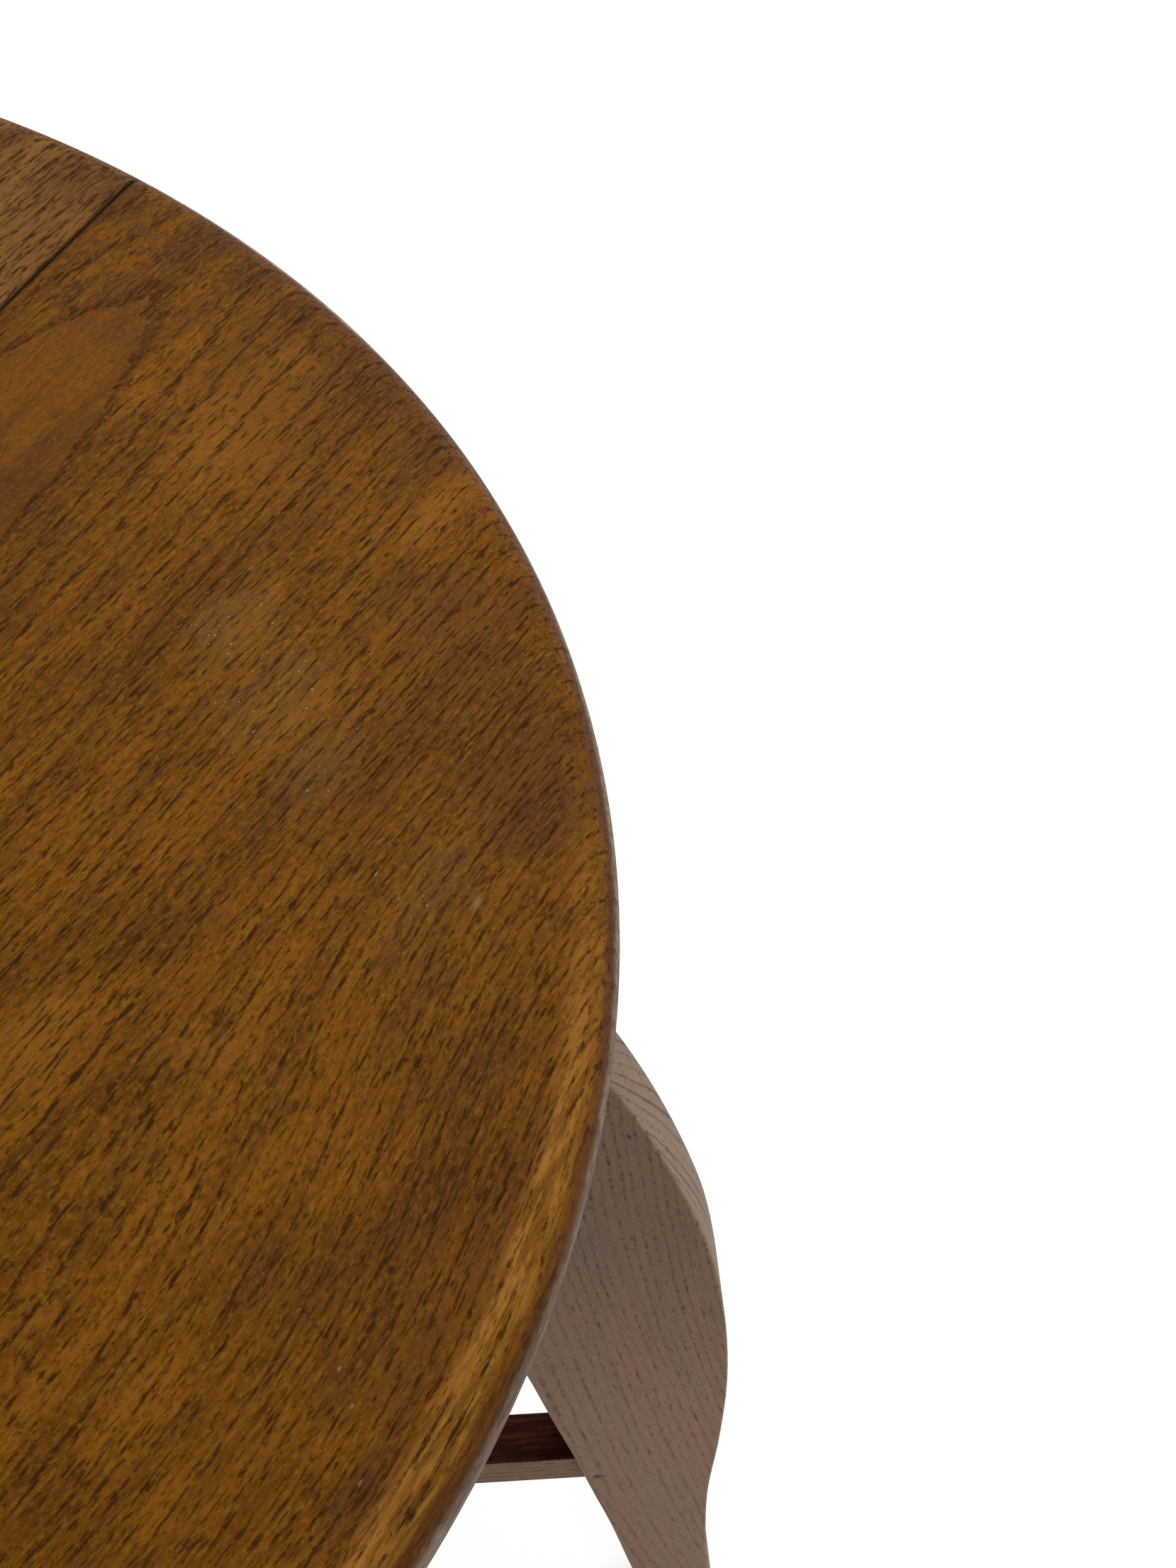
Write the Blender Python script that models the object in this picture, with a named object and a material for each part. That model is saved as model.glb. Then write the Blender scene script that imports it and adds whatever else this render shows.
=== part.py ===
"""Round coffee table in oak: a stained board top on four curved plank legs.

Frame: metres, +Z up. The origin is on the floor, straight under the middle of
the top. One leg stands on each of +X, +Y, -X and -Y. Each pair of opposite legs
is tied by a rail under the top and by a stretcher near the floor, and the two
rails, like the two stretchers, are halved into each other where they cross.
"""
import math

import bmesh
import bpy
from mathutils import Matrix, Vector

# Whole table
TABLE_HEIGHT = 0.450
TOP_RADIUS = 0.350
FIT_GAP = 0.0003

# Top: three boards side by side, joined by loose tongues
TOP_THICKNESS = 0.025
TOP_EDGE_ROUND = 0.0125
TOP_UNDER_ROUND = 0.0110
BOARD_TURN_DEG = 57.6
SEAM_SHARES = (-0.151, 0.698)
BOARD_NAMES = ("top_board_front", "top_board_middle", "top_board_back")
TONGUE_NAMES = ("tongue_front", "tongue_back")
TONGUE_WIDTH = 0.020
TONGUE_THICKNESS = 0.008
TONGUE_STOP = 0.030

# Legs: flat planks on edge, in the planes through the middle of the table
PLANK_THICKNESS = 0.025
PLANK_EDGE_ROUND = 0.0016
LEG_HEAD_WIDTH = 0.092
LEG_SHOULDER_WIDTH = 0.082
LEG_CALF_WIDTH = 0.0615
LEG_ANKLE_WIDTH = 0.0345
LEG_FOOT_WIDTH = 0.0245
LEG_SHOULDER_SHARE = 0.37
LEG_CALF_SHARE = 0.62
LEG_ANKLE_SHARE = 0.84
# Each row: share of the leg's height measured down from its head, and the reach
# of its outer edge as a share of the top's radius
LEG_OUTER_SHARES = (
    (0.00, 0.871),
    (0.20, 1.014),
    (0.39, 1.102),
    (0.49, 1.128),
    (0.60, 1.143),
    (0.70, 1.1455),
    (0.80, 1.143),
    (0.90, 1.151),
    (1.00, 1.168),
)
LEG_NAMES = ("leg_right", "leg_back", "leg_left", "leg_front")
LEG_STEPS = 40

# Rails under the top
RAIL_WIDTH = 0.020
RAIL_HEIGHT = 0.040
RAIL_TENON_THICKNESS = 0.009
RAIL_TENON_HEIGHT = 0.026
RAIL_TENON_LENGTH = 0.038

# Stretchers near the floor
STRETCHER_WIDTH = 0.018
STRETCHER_HEIGHT = 0.0155
STRETCHER_TOP_DROP = 0.3353
STRETCHER_TENON_THICKNESS = 0.008
STRETCHER_TENON_HEIGHT = 0.0115
STRETCHER_TENON_LENGTH = 0.024

# Rails and stretchers alike: the round on their long edges, and how far the solid of a
# tenon starts back inside its bar
BAR_EDGE_ROUND = 0.0010
TENON_ROOT = 0.020

# Pegs through the rail tenons and pins through the stretcher tenons
PEG_DIAMETER = 0.008
PIN_DIAMETER = 0.0024
PIN_LENGTH = 0.019
PIN_SETBACK = 0.0045

# Screws that hold the rails to the top
SCREW_SHANK_DIAMETER = 0.005
SCREW_HEAD_DIAMETER = 0.010
SCREW_HEAD_HEIGHT = 0.0035
SCREW_SOCKET_DIAMETER = 0.004
SCREW_SOCKET_DEPTH = 0.002
SCREW_BITE = 0.014
SCREW_WELL_DEPTH = 0.015
SCREW_WELL_CLEARANCE = 0.0005
# The outer screw's distance from the rail's shoulder, and the inner screw's reach as a
# share of the outer one's, for the rail along X and for the one along Y
SCREW_SETBACK_X = 0.012
SCREW_SETBACK_Y = 0.030
INNER_SCREW_X_SHARE = 0.50
INNER_SCREW_Y_SHARE = 0.34

# Glides under the feet
GLIDE_DIAMETER = 0.018
GLIDE_HEIGHT = 0.004
GLIDE_ROUND = 0.0012
GLIDE_STEM_DIAMETER = 0.0045
GLIDE_STEM_LENGTH = 0.012

# How finely round shapes are cut and shaded, and how far a cutter runs past a face
DISC_SIDES = 96
GLIDE_SIDES = 32
HOLE_SIDES = 16
PIN_SIDES = 12
SOCKET_SIDES = 6
ROUND_STEPS = 3
RIM_STEPS = 5
SMOOTH_ANGLE_DEG = 30
CUT_OVERRUN = 0.002

# Heights that follow from the sizes above
TOP_UNDERSIDE = TABLE_HEIGHT - TOP_THICKNESS
HEAD_Z = TOP_UNDERSIDE - FIT_GAP
FOOT_Z = GLIDE_HEIGHT + FIT_GAP
LEG_HEIGHT = HEAD_Z - FOOT_Z
STRETCHER_TOP_Z = TABLE_HEIGHT - STRETCHER_TOP_DROP
QUARTER_TURN = math.pi / 2


def clear_scene():
    for item in list(bpy.data.objects):
        bpy.data.objects.remove(item, do_unlink=True)


def finish(name, colour, roughness, metallic=0.0):
    """A plain material with one colour."""
    material = bpy.data.materials.new(name)
    material.use_nodes = True
    shader = material.node_tree.nodes["Principled BSDF"]
    shader.inputs["Base Color"].default_value = (*colour, 1.0)
    shader.inputs["Roughness"].default_value = roughness
    shader.inputs["Metallic"].default_value = metallic
    return material


def smooth_between(rows, position):
    """Value at position on a smooth curve through rows of (position, value)."""
    spans = [(rows[i + 1][1] - rows[i][1]) / (rows[i + 1][0] - rows[i][0])
             for i in range(len(rows) - 1)]
    slopes = [spans[0]] + [(a + b) / 2 for a, b in zip(spans, spans[1:])] + [spans[-1]]
    index = 0
    while index < len(spans) - 1 and position > rows[index + 1][0]:
        index += 1
    start, value = rows[index]
    end, next_value = rows[index + 1]
    length = end - start
    t = (position - start) / length
    return (value * (2 * t**3 - 3 * t**2 + 1) + slopes[index] * length * (t**3 - 2 * t**2 + t)
            + next_value * (3 * t**2 - 2 * t**3) + slopes[index + 1] * length * (t**3 - t**2))


def leg_width(share):
    rows = (
        (0.0, LEG_HEAD_WIDTH),
        (LEG_SHOULDER_SHARE, LEG_SHOULDER_WIDTH),
        (LEG_CALF_SHARE, LEG_CALF_WIDTH),
        (LEG_ANKLE_SHARE, LEG_ANKLE_WIDTH),
        (1.0, LEG_FOOT_WIDTH),
    )
    return smooth_between(rows, share)


def leg_outer(z):
    """Distance of a leg's outer edge from the table's axis at height z."""
    return TOP_RADIUS * smooth_between(LEG_OUTER_SHARES, (HEAD_Z - z) / LEG_HEIGHT)


def leg_inner(z):
    return leg_outer(z) - leg_width((HEAD_Z - z) / LEG_HEIGHT)


def new_object(name, mesh):
    piece = bpy.data.objects.new(name, mesh)
    bpy.context.scene.collection.objects.link(piece)
    return piece


def mesh_from(name, build):
    """A mesh made by build(bm), with its faces turned outwards."""
    bm = bmesh.new()
    build(bm)
    bmesh.ops.recalc_face_normals(bm, faces=bm.faces)
    mesh = bpy.data.meshes.new(name)
    bm.to_mesh(mesh)
    bm.free()
    return mesh


def loft(bm, rings):
    """Join rings of points into one closed skin, with a flat cap at each end."""
    verts = [[bm.verts.new(point) for point in ring] for ring in rings]
    count = len(rings[0])
    for lower, upper in zip(verts, verts[1:]):
        for i in range(count):
            j = (i + 1) % count
            bm.faces.new((lower[i], lower[j], upper[j], upper[i]))
    bm.faces.new(verts[0])
    bm.faces.new(verts[-1])


def rounded_rectangle(low_u, high_u, low_v, high_v, radius):
    """Corner points of a rectangle with rounded corners, anticlockwise."""
    corners = ((high_u, high_v, 0), (low_u, high_v, 1), (low_u, low_v, 2), (high_u, low_v, 3))
    points = []
    for u, v, quarter in corners:
        centre_u = u - math.copysign(radius, u - (low_u + high_u) / 2)
        centre_v = v - math.copysign(radius, v - (low_v + high_v) / 2)
        for step in range(ROUND_STEPS):
            angle = (quarter + step / (ROUND_STEPS - 1)) * QUARTER_TURN
            points.append((centre_u + radius * math.cos(angle), centre_v + radius * math.sin(angle)))
    return points


def box(name, low, high):
    """A closed box between two corners."""
    def build(bm):
        bmesh.ops.create_cube(bm, size=1.0)
        middle = (Vector(low) + Vector(high)) / 2
        size = Vector(high) - Vector(low)
        bmesh.ops.transform(bm, matrix=Matrix.Translation(middle) @ Matrix.Diagonal((*size, 1.0)),
                            verts=bm.verts)
    return new_object(name, mesh_from(name, build))


def rod(name, start, end, radius, sides):
    """A closed round rod from start to end."""
    start, end = Vector(start), Vector(end)

    def build(bm):
        bmesh.ops.create_cone(bm, cap_ends=True, segments=sides, radius1=radius, radius2=radius,
                              depth=(end - start).length)
        turn = (end - start).to_track_quat("Z", "Y").to_matrix().to_4x4()
        bmesh.ops.transform(bm, matrix=Matrix.Translation((start + end) / 2) @ turn, verts=bm.verts)
    return new_object(name, mesh_from(name, build))


def turned(name, profile, sides):
    """A solid of revolution about Z from (radius, z) points; both ends lie on the axis."""
    def build(bm):
        verts = [bm.verts.new((radius, 0, z)) for radius, z in profile]
        edges = [bm.edges.new(pair) for pair in zip(verts, verts[1:])]
        bmesh.ops.spin(bm, geom=verts + edges, cent=(0, 0, 0), axis=(0, 0, 1),
                       angle=4 * QUARTER_TURN, steps=sides, use_duplicate=False)
        bmesh.ops.remove_doubles(bm, verts=bm.verts, dist=FIT_GAP / 10)
    return new_object(name, mesh_from(name, build))


def combine(piece, tools, operation):
    """Boolean each tool into the piece, keep the result as a plain mesh and drop the tools."""
    for tool in tools:
        tool.hide_render = True
        tool.display_type = "WIRE"
        modifier = piece.modifiers.new(tool.name, "BOOLEAN")
        modifier.operation = operation
        modifier.solver = "EXACT"
        modifier.object = tool
    graph = bpy.context.evaluated_depsgraph_get()
    mesh = bpy.data.meshes.new_from_object(piece.evaluated_get(graph))
    piece.modifiers.clear()
    old_mesh = piece.data
    piece.data = mesh
    bpy.data.meshes.remove(old_mesh)
    for tool in tools:
        bpy.data.objects.remove(tool, do_unlink=True)
    return piece


def dress(piece, material):
    """Give the piece its one material, and shade its rounded edges smoothly."""
    piece.data.materials.clear()
    piece.data.materials.append(material)
    piece.data.shade_smooth()
    piece.data.set_sharp_from_angle(angle=math.radians(SMOOTH_ANGLE_DEG))
    return piece


def screw_reaches(quarter):
    """How far the inner and the outer screw stand from the middle of the rail."""
    setback = SCREW_SETBACK_X if quarter == 0 else SCREW_SETBACK_Y
    inner_share = INNER_SCREW_X_SHARE if quarter == 0 else INNER_SCREW_Y_SHARE
    outer = leg_inner(HEAD_Z) - setback
    return inner_share * outer, outer


def screw_places():
    """Where each screw stands on the floor plan."""
    places = [(side * reach, 0) for reach in screw_reaches(0) for side in (1, -1)]
    places += [(0, side * reach) for reach in screw_reaches(1) for side in (1, -1)]
    return places


def disc_blank():
    """The whole top as one round slab, with rounded rims, before it is cut into boards."""
    profile = [(0, TABLE_HEIGHT)]
    rims = ((TOP_EDGE_ROUND, TABLE_HEIGHT - TOP_EDGE_ROUND, 1),
            (TOP_UNDER_ROUND, TOP_UNDERSIDE + TOP_UNDER_ROUND, 0))
    for radius, centre_z, quarter in rims:
        for step in range(RIM_STEPS + 1):
            angle = (quarter - step / RIM_STEPS) * QUARTER_TURN
            profile.append((TOP_RADIUS - radius + radius * math.cos(angle),
                            centre_z + radius * math.sin(angle)))
    profile.append((0, TOP_UNDERSIDE))
    return turned("disc_blank", profile, DISC_SIDES)


def tongue_half_length(seam):
    return math.sqrt(TOP_RADIUS**2 - seam**2) - TONGUE_STOP


def tongue_box(name, seam, extra):
    """The space of a tongue, grown on every side by extra. Boards run along local X."""
    half = tongue_half_length(seam) + extra
    middle_z = TABLE_HEIGHT - TOP_THICKNESS / 2
    return box(name,
               (-half, seam - TONGUE_WIDTH / 2 - extra, middle_z - TONGUE_THICKNESS / 2 - extra),
               (half, seam + TONGUE_WIDTH / 2 + extra, middle_z + TONGUE_THICKNESS / 2 + extra))


def make_top(board_finish, tongue_finish):
    """Boards and tongues, modelled with the boards along X and then turned as one."""
    turn = math.radians(BOARD_TURN_DEG)
    seams = [share * TOP_RADIUS for share in SEAM_SHARES]
    limits = [-TOP_RADIUS - CUT_OVERRUN] + seams + [TOP_RADIUS + CUT_OVERRUN]
    reach = TOP_RADIUS + CUT_OVERRUN
    for index, name in enumerate(BOARD_NAMES):
        low, high = limits[index], limits[index + 1]
        low_gap = FIT_GAP / 2 if index > 0 else 0
        high_gap = FIT_GAP / 2 if index < len(seams) else 0
        board = disc_blank()
        board.name = name
        strip = box("strip", (-reach, low + low_gap, TOP_UNDERSIDE - CUT_OVERRUN),
                    (reach, high - high_gap, TABLE_HEIGHT + CUT_OVERRUN))
        combine(board, [strip], "INTERSECT")
        tools = [tongue_box("groove", seam, FIT_GAP) for seam in seams if seam in (low, high)]
        for x, y in screw_places():
            local = Matrix.Rotation(-turn, 3, "Z") @ Vector((x, y, 0))
            if low < local.y < high:
                tools.append(rod("pilot", (local.x, local.y, TOP_UNDERSIDE - CUT_OVERRUN),
                                 (local.x, local.y, TOP_UNDERSIDE + SCREW_BITE + FIT_GAP),
                                 SCREW_SHANK_DIAMETER / 2 + FIT_GAP, HOLE_SIDES))
        combine(board, tools, "DIFFERENCE")
        dress(board, board_finish)
        board.rotation_euler.z = turn
    for name, seam in zip(TONGUE_NAMES, seams):
        tongue = dress(tongue_box(name, seam, 0), tongue_finish)
        tongue.rotation_euler.z = turn


def tenon_box(name, middle_z, thickness, height, length, extra):
    """The space of one tenon in the +X leg, grown on every side by extra."""
    start = leg_inner(middle_z + height / 2) - TENON_ROOT
    end = leg_inner(middle_z) + length + extra
    return box(name, (start, -thickness / 2 - extra, middle_z - height / 2 - extra),
               (end, thickness / 2 + extra, middle_z + height / 2 + extra))


def rail_middle_z():
    return HEAD_Z - RAIL_HEIGHT / 2


def stretcher_middle_z():
    return STRETCHER_TOP_Z - STRETCHER_HEIGHT / 2


def rail_tenon(name, extra):
    return tenon_box(name, rail_middle_z(), RAIL_TENON_THICKNESS, RAIL_TENON_HEIGHT,
                     RAIL_TENON_LENGTH, extra)


def stretcher_tenon(name, extra):
    return tenon_box(name, stretcher_middle_z(), STRETCHER_TENON_THICKNESS,
                     STRETCHER_TENON_HEIGHT, STRETCHER_TENON_LENGTH, extra)


def peg_x():
    return leg_inner(rail_middle_z()) + RAIL_TENON_LENGTH / 2


def peg_rod(name, extra, overrun):
    half = PLANK_THICKNESS / 2 + overrun
    return rod(name, (peg_x(), -half, rail_middle_z()), (peg_x(), half, rail_middle_z()),
               PEG_DIAMETER / 2 + extra, HOLE_SIDES)


def pin_rod(name, extra, overrun):
    """A pin driven from the leg's -Y face, just behind the shoulder of the tenon."""
    z = stretcher_middle_z()
    x = leg_inner(z) + PIN_SETBACK
    start = -PLANK_THICKNESS / 2
    return rod(name, (x, start - overrun, z), (x, start + PIN_LENGTH + extra, z),
               PIN_DIAMETER / 2 + extra, PIN_SIDES)


def glide_place():
    return leg_outer(FOOT_Z) - LEG_FOOT_WIDTH / 2


def make_legs(material):
    """One plank is cut and then stood at each of the four places."""
    half = PLANK_THICKNESS / 2
    rings = []
    for step in range(LEG_STEPS + 1):
        z = HEAD_Z - LEG_HEIGHT * step / LEG_STEPS
        section = rounded_rectangle(leg_inner(z), leg_outer(z), -half, half, PLANK_EDGE_ROUND)
        rings.append([(x, y, z) for x, y in section])
    plank = new_object("plank", mesh_from("plank", lambda bm: loft(bm, rings)))
    stem_hole = rod("stem_hole", (glide_place(), 0, FOOT_Z - CUT_OVERRUN),
                    (glide_place(), 0, FOOT_Z + GLIDE_STEM_LENGTH + FIT_GAP),
                    GLIDE_STEM_DIAMETER / 2 + FIT_GAP, PIN_SIDES)
    tools = [rail_tenon("rail_mortise", FIT_GAP), stretcher_tenon("stretcher_mortise", FIT_GAP),
             peg_rod("peg_hole", FIT_GAP, CUT_OVERRUN), pin_rod("pin_hole", FIT_GAP, CUT_OVERRUN),
             stem_hole]
    combine(plank, tools, "DIFFERENCE")
    stand_copies(dress(plank, material), LEG_NAMES)


def stand_copies(piece, names):
    """Give the piece its first name, and stand a copy on each following quarter turn."""
    piece.name = names[0]
    for quarter, name in enumerate(names[1:], start=1):
        copy = new_object(name, piece.data)
        copy.rotation_euler.z = quarter * QUARTER_TURN


def mirrored(make_tool):
    """The tool at the +X end of a bar, and the same tool at its -X end."""
    near, far = make_tool(), make_tool()
    far.rotation_euler.z = 2 * QUARTER_TURN
    return [near, far]


def make_crossed_pair(names, material, width, height, top_z, tenon, holes):
    """Two bars that tie opposite legs, halved into each other where they cross."""
    low_z = top_z - height
    round_section = rounded_rectangle(-width / 2, width / 2, low_z, top_z, BAR_EDGE_ROUND)
    for quarter, name in enumerate(names):
        rings = [[(side * (leg_inner(z) - FIT_GAP), y, z) for y, z in round_section]
                 for side in (-1, 1)]
        bar = new_object(name, mesh_from(name, lambda bm: loft(bm, rings)))
        combine(bar, mirrored(lambda: tenon("tenon", 0)), "UNION")
        lap_low = top_z - height / 2 - FIT_GAP / 2 if quarter == 0 else low_z - CUT_OVERRUN
        lap_high = top_z + CUT_OVERRUN if quarter == 0 else top_z - height / 2 + FIT_GAP / 2
        lap_half = width / 2 + FIT_GAP
        lap = box("lap", (-lap_half, -width, lap_low), (lap_half, width, lap_high))
        combine(bar, [lap] + holes(quarter), "DIFFERENCE")
        dress(bar, material)
        bar.rotation_euler.z = quarter * QUARTER_TURN


def rail_holes(quarter):
    """Peg holes in the tenons, and a stepped hole for each screw."""
    tools = mirrored(lambda: peg_rod("peg_hole", FIT_GAP, 0))
    low_z = HEAD_Z - RAIL_HEIGHT
    well_radius = SCREW_HEAD_DIAMETER / 2 + SCREW_WELL_CLEARANCE
    for x in [side * reach for reach in screw_reaches(quarter) for side in (1, -1)]:
        tools.append(rod("well", (x, 0, low_z - CUT_OVERRUN),
                         (x, 0, low_z + SCREW_WELL_DEPTH), well_radius, HOLE_SIDES))
        tools.append(rod("shank_hole", (x, 0, low_z + SCREW_WELL_DEPTH - CUT_OVERRUN),
                         (x, 0, HEAD_Z + CUT_OVERRUN),
                         SCREW_SHANK_DIAMETER / 2 + FIT_GAP, HOLE_SIDES))
    return tools


def stretcher_holes(_quarter):
    return mirrored(lambda: pin_rod("pin_hole", FIT_GAP, 0))


def make_screws(material):
    """Pan-head screws, driven upwards through the rails into the boards."""
    seat_z = HEAD_Z - RAIL_HEIGHT + SCREW_WELL_DEPTH - FIT_GAP
    head_z = seat_z - SCREW_HEAD_HEIGHT
    tip_z = TOP_UNDERSIDE + SCREW_BITE
    shank = SCREW_SHANK_DIAMETER / 2
    head = SCREW_HEAD_DIAMETER / 2
    crown = SCREW_HEAD_HEIGHT / 3
    profile = [(0, tip_z), (shank / 3, tip_z), (shank, tip_z - SCREW_SHANK_DIAMETER),
               (shank, seat_z), (head, seat_z), (head, head_z + crown),
               (head - crown, head_z), (0, head_z)]
    screw = turned("screw", profile, HOLE_SIDES)
    socket = rod("socket", (0, 0, head_z - CUT_OVERRUN), (0, 0, head_z + SCREW_SOCKET_DEPTH),
                 SCREW_SOCKET_DIAMETER / 2, SOCKET_SIDES)
    combine(screw, [socket], "DIFFERENCE")
    dress(screw, material)
    for index, (x, y) in enumerate(screw_places()):
        copy = screw if index == 0 else new_object("screw", screw.data)
        copy.name = f"top_screw_{index + 1}"
        copy.location = (x, y, 0)


def make_glides(material):
    """A round foot button with a stem, under each leg."""
    disc = GLIDE_DIAMETER / 2
    stem = GLIDE_STEM_DIAMETER / 2
    profile = [(0, 0), (disc - GLIDE_ROUND, 0), (disc, GLIDE_ROUND), (disc, GLIDE_HEIGHT),
               (stem, GLIDE_HEIGHT), (stem, FOOT_Z + GLIDE_STEM_LENGTH - stem),
               (stem / 3, FOOT_Z + GLIDE_STEM_LENGTH), (0, FOOT_Z + GLIDE_STEM_LENGTH)]
    for quarter, leg_name in enumerate(LEG_NAMES):
        glide = dress(turned(leg_name.replace("leg", "glide"), profile, GLIDE_SIDES), material)
        place = Vector((glide_place(), 0, 0))
        glide.location = Matrix.Rotation(quarter * QUARTER_TURN, 3, "Z") @ place


def make_table():
    stained = finish("stained_oak", (0.145, 0.052, 0.011), 0.42)
    bleached = finish("bleached_oak", (0.165, 0.105, 0.068), 0.70)
    dark = finish("dark_oak", (0.060, 0.022, 0.010), 0.55)
    beech = finish("beech", (0.420, 0.270, 0.150), 0.65)
    steel = finish("zinc_steel", (0.550, 0.550, 0.530), 0.38, 1.0)
    nylon = finish("nylon", (0.030, 0.030, 0.032), 0.50)

    make_top(stained, beech)
    make_legs(bleached)
    make_crossed_pair(("rail_along_x", "rail_along_y"), bleached, RAIL_WIDTH, RAIL_HEIGHT, HEAD_Z,
                      rail_tenon, rail_holes)
    make_crossed_pair(("stretcher_along_x", "stretcher_along_y"), dark, STRETCHER_WIDTH,
                      STRETCHER_HEIGHT, STRETCHER_TOP_Z, stretcher_tenon, stretcher_holes)
    peg_names = [name.replace("leg", "peg") for name in LEG_NAMES]
    pin_names = [name.replace("leg", "pin") for name in LEG_NAMES]
    stand_copies(dress(peg_rod("peg", 0, 0), beech), peg_names)
    stand_copies(dress(pin_rod("pin", 0, 0), steel), pin_names)
    make_screws(steel)
    make_glides(nylon)


clear_scene()
make_table()
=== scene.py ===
# %% [markdown]
# # A round coffee table in oak, dressed for its portrait
#
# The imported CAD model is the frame: every real size comes from it. This lesson puts finely
# made pieces and worked-out finishes round that frame. The table has a round top of stained
# oak boards, four curved plank legs of washed oak, two rails and two stretchers, and the
# small hardware that holds them together.
#
# The frame is loaded first, because every later step measures it. Nothing in it is moved:
# a fine piece takes the place of a CAD piece, or a CAD piece gets a better finish.

# %% Load the frame
import math

import bmesh
import bpy
from mathutils import Matrix, Vector


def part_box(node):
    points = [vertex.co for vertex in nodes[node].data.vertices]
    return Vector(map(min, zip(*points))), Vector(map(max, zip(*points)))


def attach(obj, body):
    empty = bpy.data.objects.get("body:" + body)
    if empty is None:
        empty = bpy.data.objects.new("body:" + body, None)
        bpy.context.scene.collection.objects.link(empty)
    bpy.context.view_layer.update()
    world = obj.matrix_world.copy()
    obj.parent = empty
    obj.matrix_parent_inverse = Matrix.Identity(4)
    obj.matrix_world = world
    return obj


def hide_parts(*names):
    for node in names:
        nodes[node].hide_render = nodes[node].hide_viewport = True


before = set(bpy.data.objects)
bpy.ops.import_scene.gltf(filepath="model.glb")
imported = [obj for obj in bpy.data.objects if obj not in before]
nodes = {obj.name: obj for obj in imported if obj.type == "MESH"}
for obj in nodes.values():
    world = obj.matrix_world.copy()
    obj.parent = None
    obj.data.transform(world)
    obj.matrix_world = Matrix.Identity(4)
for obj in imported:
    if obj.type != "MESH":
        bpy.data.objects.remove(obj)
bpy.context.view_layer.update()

# %% [markdown]
# ## Measuring the frame
#
# The top is a disc cut into three boards. Its radius is the farthest that any board corner
# lies from the axis. The boards run along a line turned from +X, so a helper measures how far
# a point lies across their grain. The seams are then simply the lowest and highest places
# that each board reaches across the grain.

# %% The top's sizes
BOARD_NODES = ("top_board_front", "top_board_middle", "top_board_back")
BOARD_TURN = math.radians(57.6)


def across_grain(point):
    return point.y * math.cos(BOARD_TURN) - point.x * math.sin(BOARD_TURN)


board_points = {name: [v.co.copy() for v in nodes[name].data.vertices] for name in BOARD_NODES}
all_board_points = [point for points in board_points.values() for point in points]
rim_radius = max(point.xy.length for point in all_board_points)
top_z = max(point.z for point in all_board_points)
underside_z = min(point.z for point in all_board_points)
board_spans = {name: (min(map(across_grain, points)), max(map(across_grain, points)))
               for name, points in board_points.items()}
print("top radius", round(rim_radius, 4), "from", round(underside_z, 4), "to", round(top_z, 4))
print("boards across the grain:", {k: [round(x, 4) for x in v] for k, v in board_spans.items()})

# %% [markdown]
# ## The camera
#
# The photograph was taken close up, from over the table's edge, with a lens of about 65 mm
# on a 36 mm wide sensor. Its place was worked out from the rim's ellipse and the leg's two
# faces, as shares of the top's radius, so it would follow the table if the table grew.
# Three turns aim it: round the table, down, and a small roll.

# %% Set up the camera
CAMERA_REACH_SHARES = (0.7956, -1.2888)
CAMERA_RISE_SHARE = 1.57
CAMERA_TURNS_DEG = (-8.062, 49.785, -4.0)  # azimuth, pitch and roll
LENS_MM = 65.1
SENSOR_MM = 36.0


def link_new(name, data):
    """A new object in the scene."""
    thing = bpy.data.objects.new(name, data)
    bpy.context.scene.collection.objects.link(thing)
    return thing


def make_camera():
    azimuth, pitch, roll = map(math.radians, CAMERA_TURNS_DEG)
    forward = Vector((-math.sin(azimuth) * math.cos(pitch), math.cos(azimuth) * math.cos(pitch),
                      -math.sin(pitch)))
    level_right = Vector((math.cos(azimuth), math.sin(azimuth), 0))
    level_down = forward.cross(level_right)
    right = math.cos(roll) * level_right + math.sin(roll) * level_down
    down = math.cos(roll) * level_down - math.sin(roll) * level_right
    data = bpy.data.cameras.new("portrait_camera")
    data.sensor_width = SENSOR_MM
    data.lens = LENS_MM
    camera = link_new("portrait_camera", data)
    turn = Matrix((right, -down, -forward)).transposed().to_4x4()
    place = Vector((CAMERA_REACH_SHARES[0] * rim_radius, CAMERA_REACH_SHARES[1] * rim_radius,
                    top_z + CAMERA_RISE_SHARE * rim_radius))
    camera.matrix_world = Matrix.Translation(place) @ turn
    bpy.context.scene.camera = camera
    return camera


camera = make_camera()
print("camera at", [round(v, 4) for v in camera.matrix_world.translation])

# %% [markdown]
# ## Laying nodes
#
# Finishes and fine pieces are both made of nodes, so one helper lays them all. What a node
# puts out can be added and multiplied like a number: each sum lays the node that works it
# out. The step used most is the fade, which turns a value into a soft mask.

# %% A helper that lays nodes
SHADER_TREE, GEOMETRY_TREE = "ShaderNodeTree", "GeometryNodeTree"
FLOAT, VECTOR = "NodeSocketFloat", "NodeSocketVector"
OBJECT, GEOMETRY, MATERIAL = "NodeSocketObject", "NodeSocketGeometry", "NodeSocketMaterial"
NUMBER_SOCKETS = {float: FLOAT, int: "NodeSocketInt"}
ONE = (1, 1, 1)
NODE_STEPS = (180, -260)
NODES_IN_A_ROW = 12


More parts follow.
